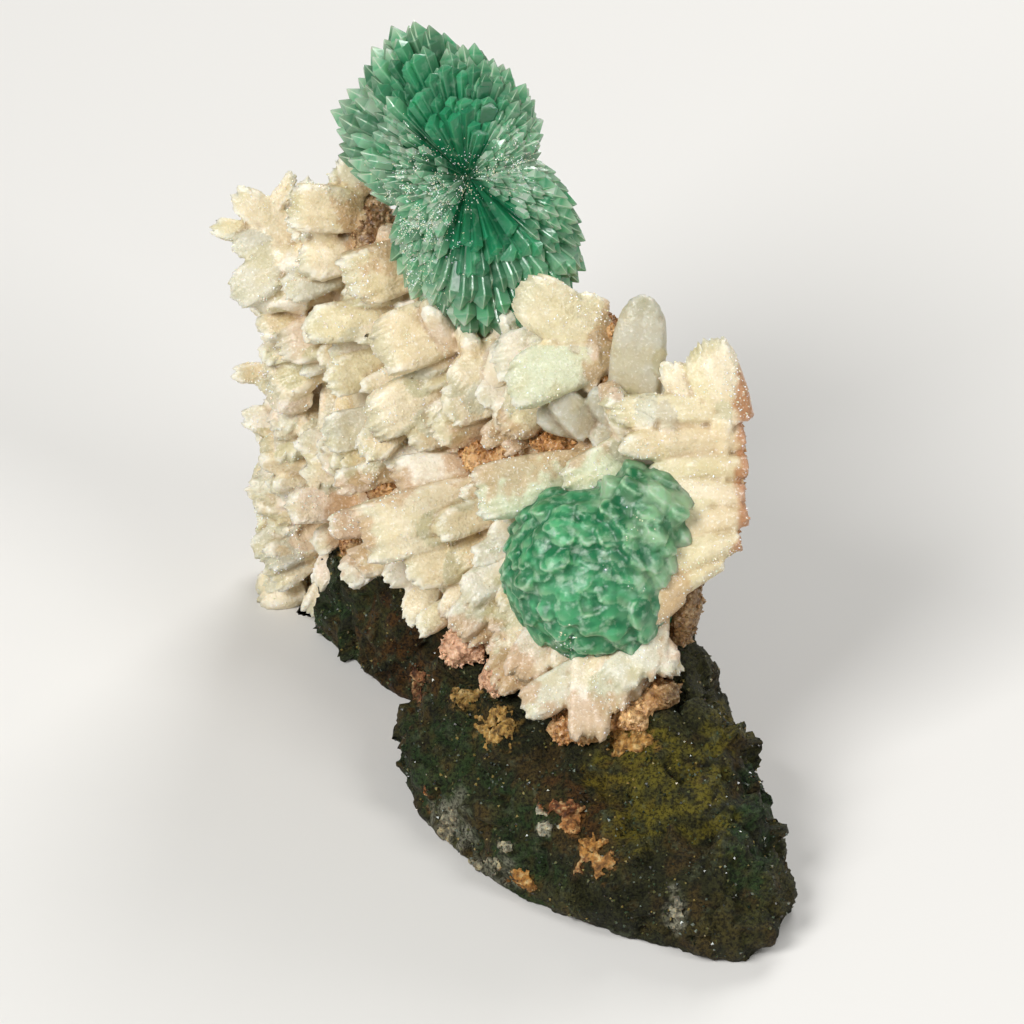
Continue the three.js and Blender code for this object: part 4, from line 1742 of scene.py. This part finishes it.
    def dirty(self, points: Array, colour: Array) -> Array:
        """Adds the orange rim on the right and the brown stains by the druse.

        Args:
            points: The skin's points.
            colour: Their colours.

        Returns:
            The new colours.
        """
        board = BOARD.read(points)
        cloudy = NOISE.layers(points, 5.0, 3)
        ragged = NOISE.layers(points, 2.0, 2)
        edge = smooth(36.8, 38.4, board[:, 0] + 0.8 * cloudy + 0.8 * ragged)
        colour = mix(colour, Tint.RIM.colour, 0.75 * edge)
        return mix(colour, Tint.STAIN.colour, 0.55 * self.stain(board, cloudy + ragged))

    def stain(self, board: Array, cloudy: Array) -> Array:
        """How much the druse beside the blades stains them.

        Args:
            board: Places on the board.
            cloudy: A noise at each, for the stains' ragged edges.

        Returns:
            The stain of each place, from 0 to 1.
        """
        cover = np.zeros(len(board))
        for across, rise, wide, high in DRUSE_STAINS:
            off = np.hypot((board[:, 0] - across) / (wide + 1.2), (board[:, 1] - rise) / (high + 1.2))
            cover = np.maximum(cover, smooth(1.15, 0.75, off + 0.4 * cloudy))
        return cover

    def build(self) -> list[Piece]:
        """Makes the bands and the clear tips.

        Returns:
            The pieces.
        """
        self.lay_out()
        milky = self.milky.material()
        rng = np.random.default_rng(8)
        pieces = []
        for number, (low, high) in enumerate(self.bands):
            first, last = number == 0, number == len(self.bands) - 1
            shells = Shells()
            shells.add(*self.ground(low, high - 2.0 * last), Tint.CREAM.colour)
            for blade in self.blades:
                x = blade.root[0]
                if (first or x >= low + 1) and (last or x < high - 1) and not blade.clear:
                    for plate in blade.plates(rng):
                        shells.add(*blade.shell(plate), blade.colour)
            pieces.append(self.skin(shells, f"stilbite_band_{number + 1}", milky))
        tips = Shells()
        for blade in self.blades:
            if blade.clear:
                tips.add(*blade.shell(Plate()), blade.colour)
        pieces.append(self.skin(tips, "stilbite_clear_tips", self.clear.material(), stained=False))
        return pieces

    def skin(self, shells: Shells, name: str, finish: Material, stained: bool = True) -> Piece:
        """Melts shells into one finished piece.

        Args:
            shells: The shells.
            name: The piece's name.
            finish: Its material.
            stained: Whether the druse stains it.

        Returns:
            The piece.
        """
        piece = shells.build(name)
        fuse(piece, self.grain)
        soften(piece, 1)
        self.roughen(piece, stained)
        dress(piece, finish)
        return piece

    def roughen(self, piece: Piece, stained: bool) -> None:
        """Gives a skin its lumps, growth lines, chips and grain, and colours it.

        Args:
            piece: The skin.
            stained: Whether the druse stains it.
        """
        points = points_of(piece)
        owner, share, wide = self.nearest(points)
        lines = np.column_stack([1.15 * wide, share, 7.7 * owner])
        along = np.array([blade.direction * (not blade.clear) for blade in self.blades])[owner]
        toothed = smooth(0.62, 0.95, share) * (0.8 * NOISE(1.3 * lines, 1.0) + 0.5 * NOISE(3.1 * lines, 1.0))
        sugary = smooth(0.0, 0.5, NOISE.layers(points, 8.0, 2))
        hollow = hollowness(piece, 4)
        chips = Facets(points, 1.1, 61).depth(points)
        chipped = smooth(-0.05, -0.14, hollow) * (0.5 * chips + 0.1 * NOISE(points, 1.1))
        relief = 0.03 * NOISE.layers(points, 3.5, 2) + (0.03 + 0.06 * sugary) * NOISE(points, 0.9) + chipped
        relief += 0.2 * (1.0 - 0.6 * sugary) * NOISE(lines, 1.0)
        points += normals_of(piece) * relief[:, None] + along * toothed[:, None]
        points[:, 2] = np.maximum(points[:, 2], 0.05)
        move_points(piece, points)
        colour = self.tint(points, owner, share, hollow)
        if stained:
            colour = self.dirty(points, colour)
        paint(piece, colour)

    def frost(self, pieces: list[Piece]) -> Piece:
        """Strews sugar on the bands, thickest in patches and on what looks up or out.

        Args:
            pieces: The bands, and any pieces after them that stay clear.

        Returns:
            The sugar.
        """
        sugar = Shells()
        for number, piece in enumerate(pieces[: len(self.bands)]):
            strewn = Sugar(piece, 40 + number)
            patchy = smooth(0.0, 0.6, NOISE.layers(strewn.middles, 6.0, 2))
            out = smooth(-0.2, 0.6, strewn.normals @ BOARD.axes[2])
            weight = 0.08 + patchy * out
            strewn.strew(sugar, self.sugar // len(self.bands), self.sugar_sizes, weight, frost_colours)
        return sugar.build("stilbite_sugar", self.glitter.material(), flat=True)


def frost_colours(spots: Array) -> Array:
    """Gives each of the sugar's crystals its pale shade."""
    return mix(linear("ffffff"), linear("f4e8c8"), smooth(-0.3, 0.3, NOISE(spots, 0.7)))


# ---- the apophyllite


@dataclass(frozen=True)
class Tier:
    """A ring of crystals at one tilt out of the spray's plane.

    width is a crystal's width, share how much of the spray's reach its crystals have, start and end the
    headings between which they stand, spacing how far apart they stand over their width and pale how pale
    they are and how strong the painted highlight along their edges is. Where pyramid or flatness is 0, the
    spray's own holds.
    """

    tilt: float
    width: float
    share: float = 1.0
    start: float = 0.0
    end: float = 360.0
    spacing: float = 0.78
    pyramid: float = 0.0
    flatness: float = 0.0
    pale: float = 1.0

    @property
    def rib(self) -> bool:
        """Whether its crystals are the long ribs of a panel."""
        return self.end - self.start < 360.0

    @property
    def sine(self) -> float:
        """The sine of its tilt, to either side."""
        return abs(math.sin(math.radians(self.tilt)))

    def holds(self, heading: float) -> bool:
        """Whether the ring has crystals at a heading."""
        return self.start <= heading % 360.0 <= self.end


@dataclass(frozen=True)
class Panel:
    """Headings where no crystal tilts further out than a limit, so that long ribs show."""

    start: float
    end: float
    tilt: float

    def bars(self, heading: float, tilt: float) -> bool:
        """Whether a crystal at this heading tilts too far."""
        return self.start < heading % 360.0 < self.end and tilt > self.tilt


@dataclass(frozen=True)
class Spot:
    """A soft spot on a spray: its heading and distance from the spray's centre, and its size."""

    heading: float
    distance: float
    size: float

    def cover(self, board: Array) -> Array:
        """How far it covers places.

        Args:
            board: Places on the board, from the spray's centre.

        Returns:
            The cover of each, 1 in the spot's middle.
        """
        turn = math.radians(self.heading)
        across = board[:, 0] - self.distance * math.cos(turn)
        rise = board[:, 1] - self.distance * math.sin(turn)
        return np.exp(-((np.hypot(across, rise) / self.size) ** 2))


def paint_glint_flats(colours: Array, axes: Array, share: float) -> None:
    """Paints a glint on two flats of a crystal's shaft, and a weaker one on its point: those that look most
    up and out.

    Args:
        colours: The colours of its faces' corners, changed in place.
        axes: Its width, thickness and length as rows.
        share: How strong the painted glint is.
    """
    # the painted glint's colour
    painted_glint = linear("e0f8dc")
    glance = BOARD.axes[2] + 0.7 * BOARD.axes[1]
    flats = {3: -axes[0], 5: -axes[1], 7: axes[0], 1: axes[1]}
    sides = sorted(flats, key=lambda number: -float(flats[number] @ glance))
    for side, strength in zip(sides, (1.0, 0.35)):
        for ring, part in ((1, 1.0), (2, 0.6), (3, 0.3)):
            first = 4 * (CRYSTAL_SIDES * ring + side)
            bright = np.array(share * strength * part)
            colours[first : first + 4] = mix(colours[first : first + 4], painted_glint, bright)


@dataclass(frozen=True)
class Spray:
    """A radiating spray of apophyllite, laid out about a centre on the board.

    reach gives the outline as heading and radius. pyramid, flatness and bevel shape the crystals as
    crystal_shell takes them. core, body and tip are the colours from their roots to their points. White
    grains lie in the frosted spots, grain_sizes being their least and greatest half size.
    """

    name: str
    node: str
    centre: tuple
    pyramid: float
    flatness: float
    bevel: float
    reach: tuple
    core: str
    body: str
    tip: str
    seed: int
    grains: int
    grain_sizes: tuple
    frosted: tuple
    finish: ApophylliteFinish

    @property
    def origin(self) -> Array:
        """The centre from which the crystals radiate."""
        return BOARD.point(*self.centre)

    @property
    def usual_reach(self) -> float:
        """The radius over all headings."""
        return float(np.mean(self.radius(np.arange(0, 360, 5))))

    @property
    def greens(self) -> tuple[Array, ...]:
        """The core's, the body's and the tip's linear colours."""
        return linear(self.core), linear(self.body), linear(self.tip)

    def radius(self, heading: Array) -> Array:
        """How far the spray reaches at headings in degrees."""
        known = np.array(self.reach)
        return np.interp(np.asarray(heading) % 360.0, known[:, 0], known[:, 1], period=360.0)

    def frost(self, body: Piece, shells: Shells) -> None:
        """Strews white grains on the spray.

        Args:
            body: The spray's finished body.
            shells: The mesh that the grains are added to.
        """
        strewn = Sugar(body, self.seed + 70)
        board = BOARD.read(strewn.middles - self.origin)
        weight = sum(spot.cover(board) for spot in self.frosted)
        ragged = smooth(-0.3, 0.4, NOISE.layers(strewn.middles, 2.5, 2))
        weight *= smooth(-0.5, 1.0, board[:, 2]) * ragged + 1e-6
        strewn.strew(shells, self.grains, self.grain_sizes, weight, frost_colours)


@dataclass(frozen=True)
class PrismSpray(Spray):
    """A spray of separate prisms that stand in tiers.

    pitch is how far its plane leans from the board, and front, by heading, and back are how far it stands out
    of that plane. Panels hold the outer tiers off. Crystals in the painted_glint spots get a painted glint on
    their flats.
    """

    pitch: float
    front: tuple
    back: float
    tiers: tuple
    panels: tuple
    painted_glint: tuple

    def level(self, heading: float, radius: float, tier: Tier) -> float:
        """A crystal's length: the outline's radius, cut where it would stand out too far.

        Args:
            heading: Where it points, in degrees.
            radius: The outline's radius there.
            tier: Its tier.

        Returns:
            Its length.
        """
        known = np.array(self.front)
        ahead = float(np.interp(heading % 360.0, known[:, 0], known[:, 1], period=360.0))
        stand = ahead if tier.tilt > 0 else self.back
        return min(radius * tier.share, stand / max(tier.sine, 0.01))

    def count(self, tier: Tier) -> int:
        """How many crystals a tier has all round."""
        around = 2.0 * math.pi * math.cos(math.radians(tier.tilt)) * self.level(0.0, self.usual_reach, tier)
        return max(4, round(around / (tier.width * tier.spacing)))

    def crystals(self) -> list[Shells]:
        """Makes every crystal, tier by tier.

        Returns:
            One shell for each, in its own colours.
        """
        rng = np.random.default_rng(self.seed)
        made = []
        for number, tier in enumerate(self.tiers):
            count = self.count(tier)
            for i in range(count):
                place = i + (number % 2) / 2.0 + rng.uniform(-0.2, 0.2)
                crystal = self.crystal(tier, place * 360.0 / count, rng)
                if crystal:
                    made.append(crystal)
        return made

    def crystal(self, tier: Tier, heading: float, rng: Draws) -> Shells | None:
        """Makes one crystal of a tier.

        Args:
            tier: The tier.
            heading: Where the crystal points, in degrees.
            rng: The draws.

        Returns:
            Its shell, or None where the tier or a panel leaves it out.
        """
        tilt = tier.tilt + rng.uniform(-2.5, 2.5)
        reach = float(self.radius(heading))
        at_rim = tier.sine < 0.15
        shortest = 0.8 if tier.rib else 0.88 + 0.06 * at_rim
        length = self.level(heading, reach, tier) * rng.uniform(shortest, 1.03)
        width = tier.width * rng.uniform(0.85, 1.2) * min(1.15, (length / 16.0) ** 0.35)
        roll = 0.25 * math.pi + rng.normal(scale=0.2)
        tone = rng.uniform(0.5, 1.1)
        glint = rng.uniform(0.0, 1.5)
        bright = rng.uniform(0.6, 0.95)
        barred = not tier.rib and any(panel.bars(heading, tilt) for panel in self.panels)
        if barred or not tier.holds(heading):
            return None
        swing = np.array(Matrix.Rotation(math.radians(self.pitch), 3, "X"))
        axes = basis(swing @ BOARD.direction(heading, tilt), BOARD.axes[2], roll)
        pyramid, flatness = tier.pyramid or self.pyramid, tier.flatness or self.flatness
        points, faces = crystal_shell(axes, self.origin, length, width, pyramid, flatness, self.bevel)
        pale = tier.pale * rng.uniform(0.5, 1.2)
        colours = self.shades((0.6 * length / reach, 0.35 * pale, 0.15 * pale, 0.9 * pale)) * tone
        # a painted highlight along the crystal's edges
        painted = edge_highlight_colours(faces, colours, linear(self.tip), 0.7 * pale)
        board = BOARD.read(points[-1:] - self.origin)
        # a painted glint on the flats of crystals in the glint spots
        if not tier.rib and glint < sum(spot.cover(board) for spot in self.painted_glint)[0]:
            paint_glint_flats(painted, axes, bright)
        shell = Shells()
        shell.add(points, faces, painted)
        return shell

    def shades(self, pale: Sequence[float]) -> Array:
        """Colours of a crystal's points, from its deep root to its pale tip.

        Args:
            pale: How far its belt goes from the core's colour to the body's, and how far its shoulder, the
                ring inside the shoulder and its point go from the body's to the tip's.

        Returns:
            One colour for each point.
        """
        core, body, tip = self.greens
        share = np.clip(pale, 0.0, 1.0)
        rings = [core, mix(core, body, share[0]), *(mix(body, tip, value) for value in share[1:])]
        return np.concatenate([np.repeat(rings, CRYSTAL_SIDES, axis=0), [core, rings[-1]]])

    def build(self) -> Piece:
        """Makes the spray as one closed body.

        Returns:
            The piece.
        """
        body = join_solids(self.crystals(), self.name, "CORNER")
        dress(body, self.finish.material(), flat=True)
        return body


@dataclass(frozen=True)
class Rosette(Spray):
    """A rosette of short crystals, strewn evenly like shingles round a core and melted into one skin.

    depth and width are a crystal's length and width, spacing how far apart they stand over their width,
    lowest the tilt under which there are none, stand how far the rosette stands out of its plane, shingle how
    far the crystals lean to the right and up the board, and grain the size of the skin's faces.
    """

    depth: float
    width: float
    spacing: float
    lowest: float
    stand: float
    shingle: tuple
    grain: float
    tries: int = 6000

    @property
    def lean(self) -> Array:
        """How the crystals lean, so that their lower left edges stand up like a shingle's."""
        aside, up = self.shingle
        return up * BOARD.axes[1] + aside * BOARD.axes[0]

    def level(self, heading: float, sine: float) -> float:
        """How far the rosette reaches at a heading and the sine of a tilt."""
        return min(float(self.radius(heading)), self.stand / max(abs(sine), 0.01))

    def scatter(self) -> tuple[list[Shells], Array]:
        """Short crystals strewn evenly over the front and the sides.

        Returns:
            One shell for each crystal, and their directions from the centre.
        """
        rng = np.random.default_rng(self.seed)
        apart = self.width * self.spacing / self.usual_reach
        made = []
        taken = np.zeros((0, 3))
        for _ in range(self.tries):
            heading, sine = rng.uniform(0.0, 360.0), rng.uniform(math.sin(math.radians(self.lowest)), 1.0)
            direction = BOARD.direction(heading, math.degrees(math.asin(sine)))
            if len(taken) and np.max(taken @ direction) > math.cos(apart):
                continue
            taken = np.vstack([taken, direction])
            tip = self.origin + direction * (self.level(heading, sine) * rng.uniform(0.96, 1.01))
            facing = BOARD.axes[1] if sine > 0.9 else BOARD.axes[2]
            lean = unit(direction + self.lean + rng.normal(scale=0.1, size=3))
            axes = basis(lean, facing, rng.uniform(-0.7, 0.7))
            width = self.width * rng.uniform(0.8, 1.3)
            shape = (width, self.pyramid * rng.uniform(0.5, 1.5), self.flatness, self.bevel)
            shell = Shells()
            shell.add(*crystal_shell(axes, tip - lean * self.depth, self.depth, *shape), linear(self.body))
            made.append(shell)
        return made, taken

    def core_shell(self) -> Shells:
        """Makes a closed body just inside the strewn crystals' tips.

        Returns:
            Its shell.
        """
        inside = 0.94
        rings = []
        for tilt in range(-80, 81, 8):
            sine = math.sin(math.radians(tilt))
            row = []
            for heading in range(0, 360, 10):
                out = inside * self.level(heading, sine)
                row.append(self.origin + BOARD.direction(heading, tilt) * out)
            rings.append(np.array(row))
        ends = np.array([rings[0].mean(axis=0), rings[-1].mean(axis=0)])
        shell = Shells()
        faces = ring_faces(len(rings), len(rings[0]))
        shell.add(np.concatenate([*rings, ends]), faces, linear(self.core))
        return shell

    def cloud(self, piece: Piece, directions: Array) -> Array:
        """Colours the skin: clouds of deep and milky green, a tone for each crystal, painted shade under the
        shingles and in creases, and painted highlight on raised edges and ridges.

        Args:
            piece: The skin.
            directions: The crystals' directions from the centre.

        Returns:
            One colour for each of its points.
        """
        rng = np.random.default_rng(self.seed + 1)
        points = points_of(piece)
        hollow = hollowness(piece, 4)
        core, body, tip = self.greens
        outward = unit(points - self.origin)
        owner = np.argmax(outward @ directions.T, axis=1)
        tone = rng.uniform(0.85, 1.15, size=len(directions))[owner]
        milk = rng.uniform(-0.25, 0.25, size=len(directions))[owner]
        # sunk: how far a point lies towards the part of its crystal under the next one, for painted shade
        # there and painted highlight on the raised edge
        sunk = 15.0 * (outward - directions[owner]) @ unit(self.lean)
        cloudy = NOISE.layers(points, 6.0, 3)
        veil = NOISE.layers(points + 30.0, 2.2, 3)
        right_top = outward @ (BOARD.axes[0] + 0.6 * BOARD.axes[1])
        milky = smooth(0.25, 1.3, right_top + 0.8 * cloudy + milk)
        colour = mix(core, body, smooth(-0.5, 0.6, cloudy + 0.8 * veil + milk)) * tone[:, None]
        for shade, share in (
            # painted shade under each shingle and in creases, painted highlight on raised edges and ridges
            (core, 0.65 * smooth(-0.6, 1.8, sunk)),
            (tip, 0.35 * smooth(-0.4, -1.8, sunk)),
            (tip, 0.65 * milky),
            (core, 0.5 * smooth(0.02, 0.12, hollow)),
            (tip, 0.7 * smooth(-0.05, -0.2, hollow)),
        ):
            colour = mix(colour, shade, share)
        return colour

    def build(self) -> Piece:
        """Makes the rosette as one closed body.

        Returns:
            The piece.
        """
        crystals, directions = self.scatter()
        body = join_solids([self.core_shell(), *crystals], self.name)
        fuse(body, self.grain)
        soften(body, 1)
        points = points_of(body)
        push_out(body, 0.1 * NOISE.layers(points, 2.4, 2) + 0.03 * NOISE(points, 0.8))
        paint(body, self.cloud(body, directions))
        dress(body, self.finish.material())
        return body


def join_solids(solids: list[Shells], name: str, domain: str = "POINT") -> Piece:
    """Joins overlapping closed shells into one closed body.

    Args:
        solids: The shells.
        name: The body's name.
        domain: POINT or CORNER, as their colours are given.

    Returns:
        The body.
    """
    body, *others = [
        solid.build(f"{name}_crystal_{number}", domain=domain) for number, solid in enumerate(solids)
    ]
    group = bpy.data.collections.new(name + "_parts")
    bpy.context.scene.collection.children.link(group)
    for other in others:
        bpy.context.scene.collection.objects.unlink(other)
        group.objects.link(other)
    join = body.modifiers.new("join", "BOOLEAN")
    join.operation = "UNION"
    join.solver = "MANIFOLD"
    join.operand_type = "COLLECTION"
    join.collection = group
    bake_down(body)
    for other in others:
        bpy.data.objects.remove(other)
    bpy.data.collections.remove(group)
    body.name = name
    return body


UPPER_SPRAY = PrismSpray(
    name="apophyllite_upper", node="apophyllite_upper_spray", centre=(-7.0, 98.8, 15.0),
    pyramid=0.8, flatness=0.9, bevel=0.84,
    reach=(
        (1, 14.8), (14, 11.8), (33, 14.8), (54, 17.5), (67, 18.6), (85, 22), (97, 24), (114, 28.4),
        (128, 26.5), (139, 24), (151, 25.4), (172, 21), (202, 13), (216, 15.8), (235, 20.4),
        (254, 24), (269, 27.8), (281, 29), (294, 29.6), (319, 25.4), (331, 22), (347, 18),
    ),
    core="067448",
    body="38ac78",
    tip="d6f2cc",
    seed=14,
    grains=2000,
    grain_sizes=(0.06, 0.14),
    frosted=(Spot(0, 0, 2.5), Spot(195, 8, 5), Spot(225, 12, 5), Spot(235, 20, 4), Spot(15, 7, 3.5)),
    finish=ApophylliteFinish(
        "apophyllite_upper", clear=0.42, roughness=0.11, depth_colour="4cc880", depth=9.0, coat=0.3, milk=0.2
    ),
    pitch=6.0,
    front=((20, 9), (60, 8.5), (80, 7), (118, 7), (140, 9), (220, 9), (255, 7.2), (315, 7.2), (335, 9)),
    back=11.0,
    tiers=(
        # behind the plane
        Tier(-66, 2.5), Tier(-52, 2.5), Tier(-40, 2.4),
        Tier(-30, 2.4), Tier(-21, 2.2, 0.94), Tier(-13, 2.0, 0.97),
        # the pale rim, with paler tips and a stronger painted highlight along the edges
        Tier(-6, 2.6, pale=1.2), Tier(0, 2.7, 1.01, pale=1.3), Tier(6, 2.5, 0.96, pale=1.2),
        # the wings, shorter and finer towards the centre
        Tier(12, 2.1, 0.89), Tier(18, 1.8, 0.81), Tier(25, 1.6, 0.72), Tier(32, 1.5, 0.63),
        Tier(40, 1.5, 0.53, spacing=0.75), Tier(50, 1.4, 0.42, spacing=0.8),
        # the upper panel's ribs
        Tier(11, 2.0, 0.93, 62, 134, spacing=0.6, pyramid=0.5, flatness=0.8, pale=0.6),
        Tier(16, 2.4, 0.83, 64, 132, spacing=0.5, pyramid=0.3, flatness=0.5, pale=0.3),
        Tier(22, 2.6, 0.72, 66, 130, spacing=0.45, pyramid=0.25, flatness=0.5, pale=0.15),
        Tier(29, 2.6, 0.6, 68, 128, spacing=0.45, pyramid=0.2, flatness=0.5, pale=0.0),
        # the lower panel's ribs
        Tier(11, 2.4, 0.93, 250, 322, spacing=0.6, pyramid=0.6, flatness=0.8, pale=1.0),
        Tier(16, 2.8, 0.83, 252, 320, spacing=0.55, pyramid=0.6, flatness=0.6, pale=1.0),
        Tier(22, 2.8, 0.7, 254, 318, spacing=0.45, pyramid=0.3, flatness=0.5, pale=0.3),
        Tier(29, 2.8, 0.57, 256, 316, spacing=0.45, pyramid=0.2, flatness=0.5, pale=0.0),
    ),
    panels=(Panel(66, 131, 11), Panel(254, 317, 11), Panel(56, 140, 28), Panel(244, 328, 28)),
    # spots where the crystals get a painted glint
    painted_glint=(
        Spot(32, 12, 6), Spot(-22, 13, 5.5), Spot(2, 9, 4), Spot(200, 10, 6),
        Spot(232, 17, 5.5), Spot(160, 17, 7), Spot(255, 25, 4), Spot(140, 24, 4),
    ),
)

LOWER_SPRAY = Rosette(
    name="apophyllite_lower", node="apophyllite_lower_spray", centre=(14.5, 34.5, 28.0),
    pyramid=0.16, flatness=0.85, bevel=0.6,
    reach=(
        (14, 17), (36, 20.8), (63, 20.4), (86, 14.5), (108, 14), (126, 16), (149, 15.4), (190, 16),
        (218, 16.2), (250, 16.8), (280, 17.2), (306, 17), (341, 15),
    ),
    core="1a8050",
    body="58b880",
    tip="cee8bf",
    seed=15,
    grains=70,
    grain_sizes=(0.08, 0.2),
    frosted=(Spot(300, 2, 1.6), Spot(320, 8, 1.4), Spot(40, 9, 2), Spot(250, 14, 2)),
    finish=ApophylliteFinish(
        "apophyllite_lower", clear=0.34, roughness=0.38, depth_colour="5cc884", depth=8.0, milk=0.6,
        glow=0.9, reach=4.5,
    ),
    depth=7.0, width=4.3, spacing=0.66, lowest=-24.0, stand=14.0, shingle=(0.16, 0.36), grain=0.34,
)


# ---- the studio


@dataclass(frozen=True)
class Lamp:
    """A soft square light: its place and its width in metres, and its power."""

    name: str
    place: tuple
    size: float
    power: float

    def add(self) -> None:
        """Adds the light, looking at the cluster's middle."""
        light = bpy.data.lights.new(self.name, "AREA")
        light.size = self.size
        light.energy = self.power
        lamp = bpy.data.objects.new(self.name, light)
        lamp.location = self.place
        aim = Vector((0.0, 0.0, 0.05)) - lamp.location
        lamp.rotation_euler = aim.to_track_quat("-Z", "Y").to_euler()
        bpy.context.scene.collection.objects.link(lamp)


@dataclass(frozen=True)
class Studio:
    """A pale floor, soft lights and the camera.

    The camera stands at a distance, in metres, square to the board over its middle, and sees field_width
    across. half_floor is half the floor's width, and glow the strength of the light from all round.
    """

    distance: float = 2.4
    field_width: float = 0.1707
    middle: tuple = (0.33, 43.0, 18.0)
    half_floor: float = 2.5
    glow: float = 0.19
    lamps: tuple = (
        Lamp("key", (-0.55, -0.6, 0.8), 0.5, 11.5),
        Lamp("fill", (0.65, -0.5, 0.75), 0.4, 3.8),
        Lamp("rim", (0.25, 0.7, 0.6), 0.4, 4.5),
    )

    def floor(self) -> None:
        """Lays the floor."""
        mesh = bpy.data.meshes.new("floor")
        half = self.half_floor
        corners = [(-half, -half, 0.0), (half, -half, 0.0), (half, half, 0.0), (-half, half, 0.0)]
        mesh.from_pydata(corners, [], [(0, 1, 2, 3)])
        floor = bpy.data.objects.new("floor", mesh)
        bpy.context.scene.collection.objects.link(floor)
        graph = Graph("floor")
        finish = graph.principled({"Base Color": rgba("dcdad6"), "Roughness": 0.7})
        mesh.materials.append(finish)

    def sky(self) -> None:
        """Sets the soft light from all round."""
        world = bpy.data.worlds.new("sky")
        world.use_nodes = True
        background = world.node_tree.nodes["Background"]
        background.inputs["Color"].default_value = (0.93, 0.94, 0.92, 1.0)
        background.inputs["Strength"].default_value = self.glow
        bpy.context.scene.world = world
        bpy.context.scene.view_settings.view_transform = "Standard"

    def camera(self) -> None:
        """Places the camera square to the board."""
        lens = bpy.data.cameras.new("camera")
        lens.sensor_width = 36.0
        lens.sensor_fit = "HORIZONTAL"
        lens.lens = 36.0 * self.distance / self.field_width
        lens.clip_start = 0.1
        camera = bpy.data.objects.new("camera", lens)
        middle = (BOARD.point(*self.middle) + ROW_ORIGIN) * MM
        out = BOARD.axes[2]
        camera.location = Vector(middle + out * self.distance)
        camera.rotation_euler = Vector(-out).to_track_quat("-Z", "Y").to_euler()
        bpy.context.scene.collection.objects.link(camera)
        bpy.context.scene.camera = camera

    def set_up(self) -> None:
        """Builds the whole studio."""
        self.floor()
        self.sky()
        self.camera()
        for lamp in self.lamps:
            lamp.add()


def main() -> None:
    """Builds the cluster piece by piece."""
    logging.basicConfig(level=logging.INFO, format="%(name)s %(message)s")
    Studio().set_up()
    matrix = BasaltMatrix()
    rock = matrix.build()
    crumbs = OchreCrust().build(rock)
    grit = Grit().build(rock)
    hand_over(rock, "basalt", matrix.node)
    hand_over(crumbs, "basalt")
    hand_over(grit, "basalt")
    druse = DruseCrust()
    hand_over(druse.build(), "druse", druse.node)
    wall = StilbiteWall()
    blades = wall.build()
    sugar = wall.frost(blades)
    for piece in blades:
        hand_over(piece, "stilbite", wall.node)
    hand_over(sugar, "stilbite")
    upper = UPPER_SPRAY.build()
    lower = LOWER_SPRAY.build()
    grains = Shells()
    UPPER_SPRAY.frost(upper, grains)
    LOWER_SPRAY.frost(lower, grains)
    hand_over(upper, "apophyllite", UPPER_SPRAY.node)
    hand_over(lower, "apophyllite", LOWER_SPRAY.node)
    frost = grains.build("apophyllite_frost", SugarFinish("spray_frost").material(), flat=True)
    hand_over(frost, "stilbite")


if __name__ == "__main__":
    main()
